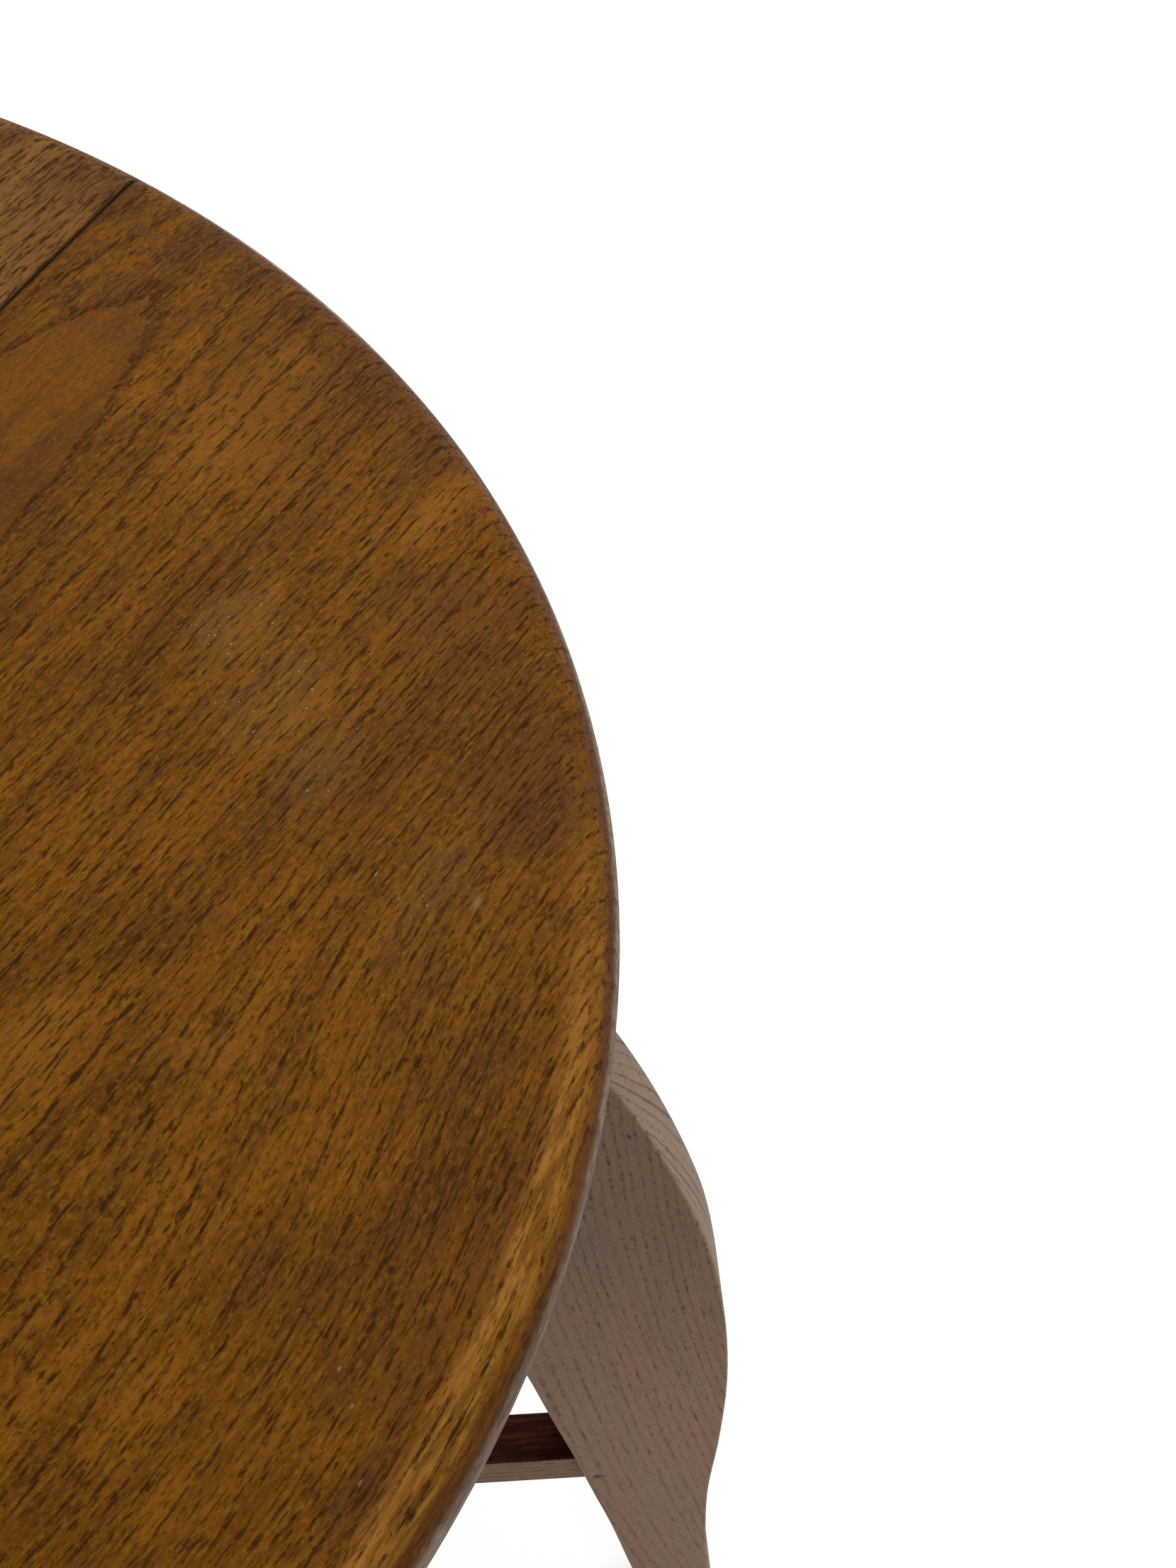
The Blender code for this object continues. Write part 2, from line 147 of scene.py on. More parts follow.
class Value:
    """What a node puts out. Sums and products of values lay the nodes that work them out."""

    def __init__(self, recipe, socket):
        self.recipe, self.socket = recipe, socket

    def __add__(self, other):
        return self.recipe.math("ADD", self, other)

    def __sub__(self, other):
        return self.recipe.math("SUBTRACT", self, other)

    def __rsub__(self, other):
        return self.recipe.math("SUBTRACT", other, self)

    def __mul__(self, other):
        return self.recipe.math("MULTIPLY", self, other)

    def __truediv__(self, other):
        return self.recipe.math("DIVIDE", self, other)

    def __abs__(self):
        return self.recipe.math("ABSOLUTE", self)

    def most(self, other):
        return self.recipe.math("MAXIMUM", self, other)

    def least(self, other):
        return self.recipe.math("MINIMUM", self, other)

    def fade(self, low, high, start=0.0, end=1.0):
        """Runs smoothly from start to end while the value goes from low to high."""
        return self.recipe.out("ShaderNodeMapRange", {
            "Value": self, "From Min": low, "From Max": high, "To Min": start, "To Max": end},
            interpolation_type="SMOOTHSTEP")

    def band(self, low, full, fading, high):
        """1 where the value is between full and fading, and 0 below low and above high."""
        return self.fade(low, full).least(self.fade(fading, high, 1.0, 0.0))


class Recipe:
    """Lays nodes into a tree in the order in which a maker would name them."""

    def __init__(self, tree):
        self.tree = tree
        self.count = 0

    def add(self, kind, inputs=(), **settings):
        node = self.tree.nodes.new(kind)
        row, column = divmod(self.count, NODES_IN_A_ROW)
        node.location = (NODE_STEPS[0] * column, NODE_STEPS[1] * row)
        self.count += 1
        for setting, value in settings.items():
            setattr(node, setting, value)
        self.feed_all(node.inputs, inputs)
        return node

    def out(self, kind, inputs=(), output=0, **settings):
        """Lays a node and gives one of its outputs."""
        return Value(self, self.add(kind, inputs, **settings).outputs[output])

    def feed(self, socket, value):
        value = getattr(value, "socket", value)
        if isinstance(value, bpy.types.NodeSocket):
            self.tree.links.new(value, socket)
        else:
            socket.default_value = value

    def feed_all(self, sockets, values):
        for key, value in dict(values).items():
            self.feed(sockets[key], value)

    def group(self, tree, inputs, kind="ShaderNodeGroup"):
        """Lays a node group and gives its outputs by name."""
        outputs = self.add(kind, inputs, node_tree=tree).outputs
        return {socket.name: Value(self, socket) for socket in outputs}

    def math(self, operation, a, b=0.0, c=0.0):
        return self.out("ShaderNodeMath", {0: a, 1: b, 2: c}, operation=operation)

    def vector(self, operation, a, b=(0, 0, 0), output=0):
        return self.out("ShaderNodeVectorMath", {0: a, 1: b}, output, operation=operation)

    def join(self, x, y, z):
        return self.out("ShaderNodeCombineXYZ", {0: x, 1: y, 2: z})

    def split(self, vector):
        outputs = self.add("ShaderNodeSeparateXYZ", {0: vector}).outputs
        return [Value(self, socket) for socket in outputs]

    def place(self):
        return self.out("ShaderNodeTexCoord", output="Object")

    def attribute(self, name):
        return self.out("ShaderNodeAttribute", output="Vector", attribute_name=name)

    def noise(self, vector, scale=1.0, detail=2.0, roughness=0.5, distortion=0.0, output=0):
        return self.out("ShaderNodeTexNoise", {
            "Vector": vector, "Scale": scale, "Detail": detail, "Roughness": roughness,
            "Distortion": distortion}, output)

    def cells(self, vector, size, turn=0.0, start=(0, 0, 0)):
        """Measures a vector from a start, turned about Z, in cells of the given size."""
        return self.out("ShaderNodeMapping", {"Vector": vector, "Location": start,
                                              "Rotation": (0, 0, turn), "Scale": size},
                        vector_type="TEXTURE")

    def clouds(self, vector, size, *character):
        """Noise with clouds of the given size. Character: detail, roughness, distortion."""
        return self.noise(self.cells(vector, size), 1.0, *character)

    def wobble(self, vector, size, reach, detail, roughness):
        """Moves a vector about in cells of the given size, by up to half of reach."""
        shift = self.noise(self.cells(vector, size), 1.0, detail, roughness, output="Color")
        shift = self.vector("SUBTRACT", shift, (0.5, 0.5, 0.5))
        return self.vector("ADD", vector, self.vector("MULTIPLY", shift, reach))

    def scatter(self, vector, scale=1.0, dimensions="3D"):
        """Scattered points: how far the nearest one is, and its three chances."""
        node = self.add("ShaderNodeTexVoronoi", {"Vector": vector, "Scale": scale,
                                                 "Randomness": 1.0},
                        voronoi_dimensions=dimensions)
        return Value(self, node.outputs["Distance"]), self.split(node.outputs["Color"])

    def mix(self, factor, a, b):
        """Mixes two colours."""
        return self.out("ShaderNodeMix", {0: factor, 6: a, 7: b}, 2, data_type="RGBA")

    def over(self, colour, *layers):
        """Lays paints over a colour, each with its mask. A mask that is 0 is left out."""
        for mask, paint in layers:
            if mask:
                colour = self.mix(mask, colour, paint)
        return colour


def new_tree(kind, name, inputs, outputs):
    """A tree with named sockets: its recipe, its inputs by name and its output sockets.

    An input is given as its kind of socket, or as the number that is its default.
    """
    tree = bpy.data.node_groups.new(name, kind)
    for in_out, sockets in (("INPUT", inputs), ("OUTPUT", outputs)):
        for socket_name, content in sockets.items():
            number_kind = NUMBER_SOCKETS.get(type(content))
            socket = tree.interface.new_socket(name=socket_name, in_out=in_out,
                                               socket_type=number_kind or content)
            if number_kind:
                socket.default_value = content
    recipe = Recipe(tree)
    given_sockets = recipe.add("NodeGroupInput").outputs
    given = {socket.name: Value(recipe, socket) for socket in given_sockets}
    return recipe, given, recipe.add("NodeGroupOutput").inputs


def new_material(name):
    """An empty material: its recipe, its shader and the material itself."""
    material = bpy.data.materials.new(name)
    material.use_nodes = True
    return Recipe(material.node_tree), material.node_tree.nodes["Principled BSDF"], material


def finish_shader(recipe, shader, colour, rough, relief, **more):
    """Feeds a shader. Relief: the bump's strength, its depth in metres and its height."""
    bump = recipe.out("ShaderNodeBump", dict(zip(("Strength", "Distance", "Height"), relief)))
    recipe.feed_all(shader.inputs, {"Base Color": colour, "Roughness": rough, "Normal": bump})
    recipe.feed_all(shader.inputs, {key.replace("_", " "): v for key, v in more.items()})


print("node helpers ready")

# %% [markdown]
# ## Light and floor
#
# The photograph has soft light from above and a plain white ground. A wide softbox high over
# the table gives most of the light, a weaker one from the front right shapes the rim, and a
# pale sky fills the shadows. The light is kept at the level at which a colour renders about
# as it is written. The white comes from the floor and the sky themselves: rays that come
# from the camera, a mirror or a glass see them brighter than the wood does.

# %% Sky and softboxes
SKY_STRENGTH = 0.32
WARM_WHITE = (1.0, 0.985, 0.96)
SOFTBOXES = (  # name, place, aim, width and power
    ("overhead_softbox", (0.65, 0.95, 2.05), (0.2, 0.1, 0.4), 1.5, 28.0),
    ("front_softbox", (0.9, -1.7, 1.9), (0.2, 0, 0.4), 1.2, 6.0),
)


def seen_rays(recipe):
    """1 for rays that come from the camera, a mirror or a glass, else 0."""
    path = recipe.add("ShaderNodeLightPath").outputs
    seen = recipe.math("MAXIMUM", path["Is Camera Ray"], path["Is Transmission Ray"])
    return seen.most(path["Is Glossy Ray"])


def make_sky():
    world = bpy.data.worlds.new("pale_sky")
    bpy.context.scene.world = world
    world.use_nodes = True
    recipe = Recipe(world.node_tree)
    recipe.feed_all(world.node_tree.nodes["Background"].inputs, {
        "Color": (1.0, 1.0, 1.0, 1.0),
        "Strength": seen_rays(recipe).fade(0.0, 1.0, SKY_STRENGTH, 1.0)})


def make_softbox(name, place, aim, width, power):
    light = bpy.data.lights.new(name, "AREA")
    light.shape = "DISK"
    light.size = width
    light.energy = power
    light.color = WARM_WHITE
    lamp = link_new(name, light)
    lamp.location = place
    lamp.rotation_euler = (Vector(aim) - Vector(place)).to_track_quat("-Z", "Y").to_euler()


make_sky()
for softbox in SOFTBOXES:
    make_softbox(*softbox)
bpy.context.scene.view_settings.view_transform = "Standard"
print("lights made:", [softbox[0] for softbox in SOFTBOXES])

# %% The floor
FLOOR_HALF_WIDTH = 6.0
FLOOR_TONES = ((0.90, 0.90, 0.90, 1), (0.94, 0.94, 0.94, 1))
FLOOR_GLOW_SHARE = 0.72
FLOOR_GLOW = 1.13


def floor_finish():
    recipe, shader, material = new_material("pale_floor")
    cloud = recipe.noise(recipe.place(), 3.0, 4.0)
    recipe.feed_all(shader.inputs, {"Base Color": recipe.mix(cloud, *FLOOR_TONES),
                                    "Roughness": cloud.fade(0.3, 0.7, 0.8, 0.9)})
    glow = recipe.out("ShaderNodeEmission", {"Color": (1, 1, 1, 1), "Strength": FLOOR_GLOW})
    both = recipe.out("ShaderNodeMixShader", {0: seen_rays(recipe) * FLOOR_GLOW_SHARE,
                                              1: shader.outputs[0], 2: glow})
    recipe.feed(material.node_tree.nodes["Material Output"].inputs["Surface"], both)
    return material


def make_floor():
    bm = bmesh.new()
    bmesh.ops.create_grid(bm, x_segments=8, y_segments=8, size=FLOOR_HALF_WIDTH)
    mesh = bpy.data.meshes.new("floor")
    bm.to_mesh(mesh)
    bm.free()
    mesh.materials.append(floor_finish())
    floor = link_new("floor", mesh)


make_floor()
print("floor made")

# %% [markdown]
# ## Oak, in three shared node groups
#
# Oak is known by three things. Growth rings run through the whole plank, so they are worked
# out in space, as distances from the tree's pith: a flat cut then shows arches and a curved
# cut shows fans, as real oak does. Open pores lie along the grain as short dark dashes, and
# crowd where each ring starts. Fine fibres streak the wood between them.
#
# Every group takes a grain vector in metres: x runs along the fibres, y across the board and
# z through it. A material decides how its pieces give that vector.

# %% Growth rings
SWAY_CELL = (0.14, 0.045, 0.045)
RIPPLE_CELL = (0.022, 0.005, 0.005)
RING_START_SHARE = 0.2
FAINTEST_RING = 0.35


def make_rings_group():
    recipe, given, result = new_tree(SHADER_TREE, "oak_rings", {
        "Vector": VECTOR, "Ring Width": 0.003, "Pith Across": 0.0, "Pith Depth": -0.08,
        "Taper": 0.02, "Sway": 0.004, "Ripple": 0.0012, "Early Share": 0.5},
        {"Early Wood": FLOAT, "Ring Tone": FLOAT, "Reach": FLOAT})
    x, y, z = recipe.split(given["Vector"])
    across, depth = y - given["Pith Across"], z - given["Pith Depth"]
    reach = recipe.math("SQRT", across * across + depth * depth) + x * given["Taper"]
    for cell, amount in ((SWAY_CELL, given["Sway"]), (RIPPLE_CELL, given["Ripple"])):
        reach = reach + (recipe.clouds(given["Vector"], cell) - 0.5) * amount
    phase = reach / given["Ring Width"]
    saw = recipe.math("FRACT", phase)
    slope = given["Early Share"] * RING_START_SHARE
    band = saw.fade(1.0 - slope, 1.0).most(saw.fade(slope, given["Early Share"], 1.0, 0.0))
    year, tone = (recipe.out("ShaderNodeTexWhiteNoise", {"W": recipe.math(rounding, phase)},
                             "Value", noise_dimensions="1D") for rounding in ("ROUND", "FLOOR"))
    recipe.feed_all(result, {"Early Wood": band * year.fade(0.0, 1.0, FAINTEST_RING, 1.0),
                             "Ring Tone": tone, "Reach": reach})
    return recipe.tree


oak_rings = make_rings_group()
print("group:", oak_rings.name)

# %% Open pores
PORE_LAYERS = ((1.0, 1.0, 0.0), (0.50, 0.85, 7.3), (0.26, 0.70, 3.9))  # length, width, start
PORE_BEND_CELL = (0.022, 0.008, 0.008)
PORE_BEND = (0.0, 0.0020, 0.0020)


def make_pores_group():
    recipe, given, result = new_tree(SHADER_TREE, "oak_pores", {
        "Vector": VECTOR, "Length": 0.006, "Width": 0.0012, "Size": 0.3, "Crowding": 0.5},
        {"Pores": FLOAT, "Dust": FLOAT})
    place = recipe.wobble(given["Vector"], PORE_BEND_CELL, PORE_BEND, 1.0, 0.5)
    pores = dust = 0.0
    for length_share, width_share, start in PORE_LAYERS:
        width = given["Width"] * width_share
        cell = recipe.join(given["Length"] * length_share, width, width)
        spots = recipe.vector("ADD", recipe.vector("DIVIDE", place, cell), (start, start, start))
        distance, (size_chance, there_chance, depth_chance) = recipe.scatter(spots)
        there = (there_chance - given["Crowding"]).fade(-0.06, 0.06, 1.0, 0.0)
        share = distance / (given["Size"] * size_chance.fade(0.0, 1.0, 0.65, 1.25))
        depth = there * depth_chance.fade(0.0, 1.0, 0.40, 1.0)
        filled = there * depth_chance.fade(0.93, 0.97)
        pores = (share.fade(0.20, 1.0, 1.0, 0.0) * depth).most(pores)
        dust = (share.fade(0.25, 0.60, 1.0, 0.0) * filled).most(dust)
    recipe.feed_all(result, {"Pores": pores, "Dust": dust})
    return recipe.tree


oak_pores = make_pores_group()
print("group:", oak_pores.name)

# %% Fibres and slow bands
FIBRE_SCALES = {  # length and width in metres, detail, roughness, distortion
    "Mottle": (0.0030, 0.0012, 4.0, 0.75, 0.3),
    "Fibres": (0.009, 0.0006, 3.0, 0.60, 0.2),
    "Dashes": (0.0078, 0.00098, 3.4, 0.60, 0.5),
    "Strokes": (0.017, 0.0022, 4.0, 0.65, 0.5),
    "Bands": (0.065, 0.0080, 4.0, 0.60, 0.5),
    "Clouds": (0.085, 0.0380, 5.0, 0.62, 0.8),
}


def make_fibres_group():
    recipe, given, result = new_tree(SHADER_TREE, "oak_fibres", {"Vector": VECTOR},
                                     dict.fromkeys(FIBRE_SCALES, FLOAT))
    for name, (length, width, *character) in FIBRE_SCALES.items():
        recipe.feed(result[name],
                    recipe.clouds(given["Vector"], (length, width, width), *character))
    return recipe.tree


oak_fibres = make_fibres_group()
print("group:", oak_fibres.name)

# %% [markdown]
# ## Marks of use, in two more groups
#
# A used table has hair-thin scratches in every direction, small pale specks, and dull hazy
# patches where the wax has gone. Corners rub paler than faces. The first group works in
# plain object space, because use does not follow the grain. The second takes two distances
# to a corner's two faces: their larger one is how far the spot is from the corner's line.

# %% Scratches, specks and haze
SCRATCHES = ((12, 0.038, 0.0), (74, 0.030, 3.1), (131, 0.033, 8.7))  # degrees, length, start
SCRATCH_WIDTHS = (0.0004, 0.0016)
DOTS = (  # name, how many in a metre, rarity, largest size in cells, dimensions
    ("Specks", 130.0, 0.80, 0.052, "3D"),
    ("Dots", 290.0, 0.45, 0.090, "2D"),
)


def make_use_group():
    recipe, given, result = new_tree(SHADER_TREE, "marks_of_use", {"Vector": VECTOR}, {
        "Scratches": FLOAT, "Specks": FLOAT, "Dots": FLOAT, "Haze": FLOAT})
    place = given["Vector"]
    patches = recipe.noise(place, 14.0, 3.0, 0.6)
    scratches = 0.0
    for turn_deg, length, start in SCRATCHES:
        turned = recipe.cells(place, (length, *SCRATCH_WIDTHS), math.radians(turn_deg),
                              (start, start, 0))
        scratches = recipe.noise(turned, 1.0, 1.0, 0.4).fade(0.735, 0.80).most(scratches)
    found = {}
    for name, scale, rarity, largest, dimensions in DOTS:
        distance, chances = recipe.scatter(place, scale, dimensions)
        size = chances[1].fade(rarity, 1.0, 0.0, largest)
        found[name] = recipe.math("LESS_THAN", distance, size)
    recipe.feed_all(result, {
        "Scratches": scratches * patches.fade(0.45, 0.62),
        "Specks": found["Specks"] * patches.fade(0.5, 0.6), "Dots": found["Dots"],
        "Haze": recipe.noise(place, 9.0, 5.0, 0.65).fade(0.55, 0.72)})
    return recipe.tree


marks_of_use = make_use_group()
print("group:", marks_of_use.name)


# %% Rubbed corners
def make_corner_group():
    recipe, given, result = new_tree(SHADER_TREE, "rubbed_corners", {
        "Vector": VECTOR, "Gap A": 0.01, "Gap B": 0.01, "Reach": 0.002}, {"Rubbed": FLOAT})
    gap = given["Gap A"].most(given["Gap B"])
    uneven = recipe.noise(given["Vector"], 60.0, 4.0, 0.65)
    edge = given["Reach"] * uneven.fade(0.3, 0.7, 0.25, 1.5)
    recipe.feed(result["Rubbed"], (gap / edge).fade(0.2, 1.0, 1.0, 0.0))
    return recipe.tree


rubbed_corners = make_corner_group()
print("group:", rubbed_corners.name)

# %% [markdown]
# ## Stained oak for the top
#
# The boards were stained golden brown over pale oak. The stain took unevenly: it is darker
# where pores crowd, blotchy near the rim, and it stops half way round the rounded rim, where
# the washed wood shows. A golden band along the rim's rounded shoulder, on the side that faces
# the light, is mostly a painted highlight and partly wear. Dirt has settled along the seam.
# The finish is a thin wax, so it shines softly, and less where haze and pores break it.
#
# One function makes the finish of all three boards. Each board gets its own pith place, so
# its arches lie elsewhere, and its own share of grey.

# %% The stained finish
TOP_EDGE_ROUND = 0.0125
GOLDEN = (0.208, 0.077, 0.005, 1)
BROWN = (0.140, 0.046, 0.003, 1)
UMBER = (0.070, 0.021, 0.002, 1)
RUSSET = (0.108, 0.034, 0.008, 1)
ROUND_BROWN = (0.072, 0.024, 0.004, 1)
WORN_GOLD = (0.295, 0.119, 0.011, 1)
# Colour of the painted highlight on the rim's rounded shoulder, which is partly wear.
HIGHLIGHT_GOLD = (0.355, 0.158, 0.026, 1)
STAINED_PORE = (0.036, 0.013, 0.002, 1)
BLOT = (0.060, 0.021, 0.006, 1)
GREYED = (0.260, 0.122, 0.034, 1)
RIM_WOOD = (0.370, 0.275, 0.205, 1)
RIM_SHADE = (0.210, 0.143, 0.100, 1)
RIM_PORE = (0.070, 0.046, 0.032, 1)
SEAM_DIRT = (0.018, 0.008, 0.003, 1)
SCUFF = (0.300, 0.170, 0.060, 1)
SPECK = (0.560, 0.500, 0.420, 1)
DUSTY = (0.400, 0.260, 0.130, 1)
GOLDEN_SHINE = (1.0, 0.55, 0.22, 1)
# The side of the rim that faces the light, where the shoulder's highlight is painted.
LIT_SIDE_DEG = -40.0
BARE_SIDE_DEG = 65.0
FACING_FADE = (0.70, 0.95)
SWIRL_LINE = 0.16
SWIRL_LIMIT = -0.11
NEAR_RIM, OUTERMOST, SHOULDER = ([rim_radius - inset for inset in insets] for insets in (
    (0.075, 0.010), (0.040, 0.008), (0.015, 0.009, 0.0050, 0.0025)))
seam_places = [(board_spans[a][1] + board_spans[b][0]) / 2
               for a, b in zip(BOARD_NODES, BOARD_NODES[1:])]


def swirled(recipe, grain, strength, start, end):
    """Lets the grain turn more and more between two places across the board, short of a line."""
    if not strength:
        return grain
    x, y, z = recipe.split(grain)
    short = recipe.math("SMOOTH_MIN", x - SWIRL_LINE, 0.0, 0.05)
    short = recipe.math("SMOOTH_MAX", short, SWIRL_LIMIT, 0.06)
    return recipe.join(x, y + y.fade(end, start, -strength, 0.0) * short, z)


def blots(recipe, grain, marks, wobble_size):
    """Soft spots at set places: along, across, length, width and strength of each."""
    if not marks:
        return 0.0
    place = recipe.wobble(grain, (wobble_size * 0.55, wobble_size * 0.25, 0.01),
                          (wobble_size, wobble_size / 2, 0.0), 4.0, 0.65)
    total = 0.0
    for along, across, length, width, strength in marks:
        spot = recipe.cells(place, (length, width, 0.05), 0.0, (along, across, 0))
        gap = recipe.vector("LENGTH", spot, output="Value")
        total = gap.fade(0.25, 1.0, strength, 0.0).most(total)
    return total


def facing(recipe, place, reach, degrees):
    """1 where the rim faces a direction or its opposite, fading to 0 away from them."""
    side = math.radians(degrees)
    along = recipe.vector("DOT_PRODUCT", place, (math.cos(side), math.sin(side), 0), "Value")
    return abs(along / reach).fade(*FACING_FADE)


def stained_oak(name, grain_deg, pith, taper, sway, ring_width, early_share, greyness,
                dash_limits, swirl=(0, 0, 0), heart=None, faded=(), dusty_marks=(), marks=(),
                knots=(), flecks=()):
    """One board's finish. Dash limits: how rare open grain is between the rings, and on them.

    Heart: the ring (its distance from the pith) inside which the board's last arch is smooth.
    """
    recipe, shader, material = new_material(name)
    place = recipe.place()
    straight = recipe.cells(place, ONE, BOARD_TURN, (0, 0, top_z))
    _along, across, above = recipe.split(straight)
    grain = swirled(recipe, recipe.cells(place, ONE, math.radians(grain_deg), (0, 0, top_z)),
                    *swirl)
    rings = recipe.group(oak_rings, {
        "Vector": grain, "Ring Width": ring_width, "Pith Across": pith[0], "Pith Depth": pith[1],
        "Taper": taper, "Sway": sway, "Ripple": 0.0014, "Early Share": early_share})
    early = rings["Early Wood"]
    mottle, fibres, dashes, strokes, bands, clouds = map(
        recipe.group(oak_fibres, {"Vector": grain}).get, FIBRE_SCALES)
    pore_marks = recipe.group(oak_pores, {
        "Vector": grain, "Length": 0.0085, "Width": 0.0010, "Size": 0.34,
        "Crowding": early.fade(0.0, 0.7, 0.20, 0.9)})
    limit = early.fade(0.0, 0.6, *dash_limits) - clouds * 0.10
    inside = arch_line = 0.0
    if heart:
        near_tip = recipe.split(grain)[0].fade(0.13, 0.22)
        inside = near_tip * rings["Reach"].fade(heart - 0.0003, heart, 1.0, 0.0)
        limit = limit + inside * 0.10
        arch_line = rings["Reach"].band(heart - 0.0002, heart + 0.0001,
                                        heart + 0.0002, heart + 0.0009)
        arch_line = arch_line * near_tip * mottle.fade(0.36, 0.56, 0.25, 0.85)
    breaks = mottle - across.fade(-0.31, -0.23, 0.04, 0.0)
    open_grain = (dashes - limit).fade(-0.02, 0.15) * breaks.fade(0.32, 0.60, 0.22, 0.95)
    pores = (pore_marks["Pores"] * 0.6).most(open_grain)
    use = recipe.group(marks_of_use, {"Vector": place})

    x, y, _z = recipe.split(place)
    reach = recipe.vector("LENGTH", recipe.join(x, y, 0.0), output="Value")
    lit_side, bare_side = (facing(recipe, place, reach, side)
                            for side in (LIT_SIDE_DEG, BARE_SIDE_DEG))
    blotch = recipe.clouds(grain, (0.05, 0.025, 0.025), 4.0, 0.6, 0.8)
    stains = reach.fade(*OUTERMOST) * bare_side * blotch.fade(0.35, 0.65, 0.05, 0.8)
    stains = stains.most(blots(recipe, straight, marks, 0.024))
    # Mask of the golden band on the rim's shoulder, on the side facing the light: mostly a painted
    # highlight, partly wear.
    wear_and_highlight = lit_side * reach.band(*SHOULDER) * strokes.fade(0.38, 0.58, 1.0, 0.30)
    seam_gap = abs(across - seam_places[0]).least(abs(across - seam_places[1]))
    haze = (use["Haze"] * 0.4).most(blots(recipe, straight, dusty_marks, 0.030))
    dusty = pore_marks["Dust"] * haze.fade(0.0, 1.0, 0.15, 1.0)
    dots = use["Dots"] * fibres.fade(0.35, 0.60, 0.1, 0.7)
    colour = recipe.over(
        recipe.mix(bands.fade(0.36, 0.64), BROWN, GOLDEN),
        (rings["Ring Tone"].fade(0.3, 1.0, 0.0, 0.22), RUSSET),
        (clouds.fade(0.46, 0.66, 0.0, 0.55), UMBER),
        (strokes.fade(0.50, 0.68, 0.0, 0.50), UMBER),
        (strokes.fade(0.32, 0.48, 0.45, 0.0), GOLDEN),
        (early * 0.40, UMBER),
        (mottle.fade(0.50, 0.66, 0.0, 0.65), UMBER),
        (mottle.fade(0.32, 0.50, 0.50, 0.0), WORN_GOLD),
        (inside * 0.35, RUSSET),
        (arch_line, UMBER),
        (greyness, GREYED),
        (blots(recipe, straight, faded, 0.030), WORN_GOLD),
        (reach.fade(*NEAR_RIM) * blotch.fade(0.42, 0.62, 0.0, 0.50), RUSSET),
        (stains * (mottle + dashes).fade(0.84, 1.12, 0.25, 1.0), BLOT),
        (blots(recipe, straight, knots, 0.0026), STAINED_PORE),
        # Painted highlight on the rim's shoulder, partly wear; pores are painted fainter under it.
        (wear_and_highlight * 0.95, HIGHLIGHT_GOLD),
        (pores * wear_and_highlight.fade(0.0, 1.0, 1.0, 0.6), STAINED_PORE),
        ((seam_gap - strokes * 0.0030).fade(-0.0012, 0.0004, 0.8, 0.0), SEAM_DIRT),
        (haze * mottle.fade(0.35, 0.6, 0.02, 0.12), DUSTY),
        (dusty * 0.55, SPECK),
        (dots * haze, SPECK),
        (use["Scratches"] * 0.35, SCUFF),
        (use["Specks"] * 0.7, SPECK),
        (blots(recipe, straight, flecks, 0.0012), SPECK))

    uneven = recipe.clouds(place, (0.012,) * 3, 4.0, 0.6) - 0.5
    wear = bare_side.fade(0.0, 1.0, 1.0, 2.4) - lit_side * 0.3
    fall = uneven * 0.003 + (dashes - 0.5) * 0.003 - above * wear
    darkened = fall.fade(0.22 * TOP_EDGE_ROUND, 0.36 * TOP_EDGE_ROUND)
    bare = fall.fade(0.40 * TOP_EDGE_ROUND, 0.56 * TOP_EDGE_ROUND)
    pale = recipe.over(recipe.mix(strokes.fade(0.38, 0.62), RIM_WOOD, RIM_SHADE),
                       (mottle.fade(0.48, 0.64, 0.0, 0.5), RIM_SHADE),
                       (early * 0.45, RIM_SHADE),
                       (pores * 0.6, RIM_PORE))
    colour = recipe.over(colour,
                         (darkened * lit_side.fade(0.4, 1.0, 0.85, 0.25),
                          recipe.mix(mottle.fade(0.35, 0.60), RUSSET, ROUND_BROWN)),
                         (pores * 0.8, STAINED_PORE),
                         (bare, pale))
    rough = bands.fade(0.3, 0.7, 0.36, 0.46) + pores * 0.25 + haze * 0.12 + bare * 0.22
    height = fibres * 0.5 - pores + strokes * 0.4 - use["Scratches"] * 0.3
    finish_shader(recipe, shader, colour, rough, (0.8, 0.00025, height),
                  Specular_IOR_Level=0.05, Specular_Tint=GOLDEN_SHINE)
    return material


print("seams across the grain:", [round(seam, 4) for seam in seam_places])

# %% [markdown]
# ## Marks at their own places
#
# Some marks stand out in the photograph, so they get places of their own on the front board:
# faded spots, dusty spots, dark blots along the rim, a little crack with knots beside it, and
# pale flecks. Each is given by how far along and across the grain it lies, by its length and
# width in metres, and by its strength.

